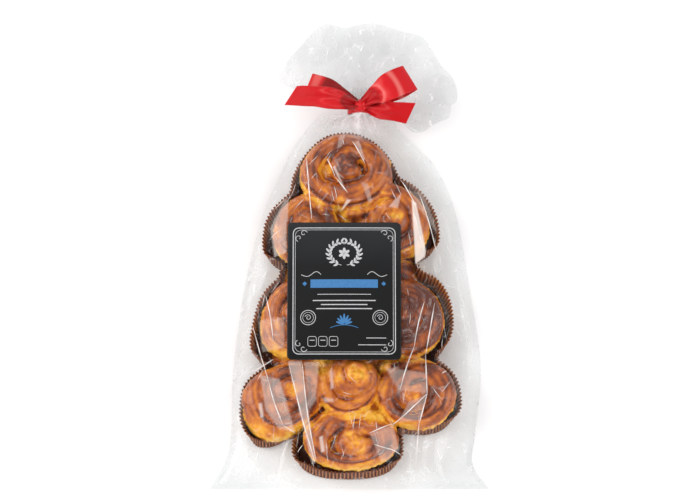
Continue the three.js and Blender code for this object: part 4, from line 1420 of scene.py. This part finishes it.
def ribbon_ring():
    """The ribbon wound round the neck under the knot."""
    theta = circle(72)
    rings = []
    for radius, y in RING_PROFILE:
        ring = [NECK[0] + radius * np.cos(theta), np.full(72, NECK[1] + y)]
        rings.append(np.stack(ring + [NECK[2] + radius * np.sin(theta)], -1))
    count = len(rings)
    return hoop(rings), np.zeros(count * 72), np.tile(theta * 10, count), None


# Each loop and tail leaves the knot at a bearing in degrees from +X. A station gives the
# distance from the knot, the height above its middle and the band's width. The last list gives
# the distances between which the satin is darkened with painted shade, below 0, or lit with a
# painted highlight, above 0; on the left loop the darkening is also the duller back face.
BOW = {
    "bow_loop_left": (
        dict(bearing=160, roll=0.0, seed=31, stations=[
            (1, -2, 8), (15, -1, 17), (30, -1, 25), (45, 0, 25), (49, 2, 25), (45, 4.4, 25),
            (30, 5.4, 25), (15, 3.4, 17), (1, 2, 8)]),
        [(-1, 37, -1.3), (41, 45, 0.35)]),
    "bow_loop_right": (
        dict(bearing=30, roll=0.0, seed=32, stations=[
            (1, -2, 8), (16, 0.5, 17), (33, -0.5, 25), (47, -1, 25), (51, 0.5, 25), (47, 3.6, 25),
            (38, 7.4, 25), (28, 9, 24), (18, 6, 19), (11, 7.2, 14), (1, 2, 8)]),
        [(-1, 20, -0.8), (22, 23, 0.5), (36, 38, 0.55)]),
    "bow_tail_left": (
        dict(bearing=174, roll=-1.05, skew=7, seed=33, stations=[
            (1, 1, 8), (18, 11, 17), (39, 13, 22.5), (61, 9, 25)]),
        [(-1, 16, -1.1), (16, 30, -0.4)]),
    "bow_tail_right": (
        dict(bearing=-7, roll=1.05, skew=3, seed=34, stations=[
            (1, 0, 8), (14, -1.5, 16), (29, -5, 22.5), (45, -5.5, 25)]),
        [(-1, 10, -0.5)]),
}


def make_bow(material):
    strips = {"bow_knot": (ribbon_knot(), []), "bow_ring": (ribbon_ring(), [])}
    strips.update((name, (ribbon_strip(**form), shade_and_highlight)) for name, (form, shade_and_highlight) in BOW.items())
    for name, ((shape, across, along, out), shade_and_highlight) in strips.items():
        # Bands of painted shade and painted highlight across the satin, arched towards the knot in the
        # band's middle
        shade = np.zeros(len(across))
        for start, end, strength in shade_and_highlight:
            arched = out + (9 - 0.2 * out) * across ** 2
            ends = smooth(arched, start - 2.5, start + 1) * (1 - smooth(arched, end - 1, end + 3))
            shade += strength * ends
        attributes = {
            "across": across,
            "along": along,
            "dull": np.maximum(-shade, 0),
            "glow": np.maximum(shade, 0),
        }
        add_piece(name, "ribbon_bow", material, shape, attributes)


# Camera, floor and light

def stand(name, data, location, direction):
    """An object that looks in a direction."""
    made = bpy.data.objects.new(name, data)
    made.location = location
    made.rotation_mode = "QUATERNION"
    made.rotation_quaternion = direction.to_track_quat("-Z", "Y")
    bpy.context.scene.collection.objects.link(made)
    return made


def make_camera():
    data = bpy.data.cameras.new("camera")
    data.sensor_fit = "HORIZONTAL"
    data.sensor_width = 36
    data.lens = data.sensor_width * VIEW_DISTANCE / (PHOTO_SIZE[0] * PHOTO_SCALE * MM)
    data.clip_end = 20
    back = Vector((0, -math.cos(VIEW_ELEVATION), math.sin(VIEW_ELEVATION)))
    location = Vector(to_row(AIM)) + back * VIEW_DISTANCE
    bpy.context.scene.camera = stand("camera", data, location, -back)


def make_floor():
    """A plain pale floor."""
    nodes = Nodes("pale_floor")
    colour = nodes.ramp(nodes.noise(3.0, 2.0), [(0.0, (0.93,) * 3), (1.0, (0.95,) * 3)])
    material = nodes.finish_solid(colour, 0.85)
    mesh = bpy.data.meshes.new("floor")
    corners = [(-4.0, -4.0, 0), (4.0, -4.0, 0), (4.0, 4.0, 0), (-4.0, 4.0, 0)]
    mesh.from_pydata(corners, [], [(0, 1, 2, 3)])
    mesh.materials.append(material)
    floor = bpy.data.objects.new("floor", mesh)
    bpy.context.scene.collection.objects.link(floor)


def softbox(name, location, size, power):
    """A rectangular lamp that shines at the pack."""
    data = bpy.data.lights.new(name, "AREA")
    data.shape = "RECTANGLE"
    data.size, data.size_y = size
    data.energy = power
    stand(name, data, location, Vector((0, 0, 0.03)) - Vector(location))


def make_light():
    world = bpy.data.worlds.new("studio")
    world.use_nodes = True
    background = world.node_tree.nodes["Background"]
    background.inputs["Color"].default_value = (1.0, 1.0, 1.0, 1)
    background.inputs["Strength"].default_value = 0.58
    bpy.context.scene.world = world
    softbox("left", (-1.25, 0.15, 1.0), (1.1, 1.1), 16.0)
    softbox("right", (1.25, 0.0, 1.0), (1.0, 1.0), 7.5)
    softbox("strip", (-0.3, 1.0, 1.4), (0.5, 0.12), 2.2)
    softbox("front", (0.1, -1.6, 1.1), (1.2, 0.5), 11.0)
    bpy.context.scene.view_settings.view_transform = "Standard"


def build():
    make_camera()
    make_floor()
    make_light()
    film = film_material("clear_film", 0.992, 100, (0.97, 0.86, 0.79))
    fold_film = film_material("creased_film", 0.992, 100, (0.98, 0.95, 0.93))
    mouth_film = film_material("crumpled_film", 0.946, 130, (0.95, 0.95, 0.95))
    loaf_points = make_loaf(crust_material())
    make_case(paper_material())
    film_height = make_bag(film, loaf_points)
    make_folds(fold_film, film_height)
    make_mouth(mouth_film)
    make_label(label_material())
    make_print(
        ink_material("pale_ink", (0.42, 0.42, 0.43), (0.6, 0.6, 0.61)),
        ink_material("blue_ink", (0.03, 0.15, 0.36), (0.05, 0.20, 0.44)),
    )
    make_bow(ribbon_material())


build()
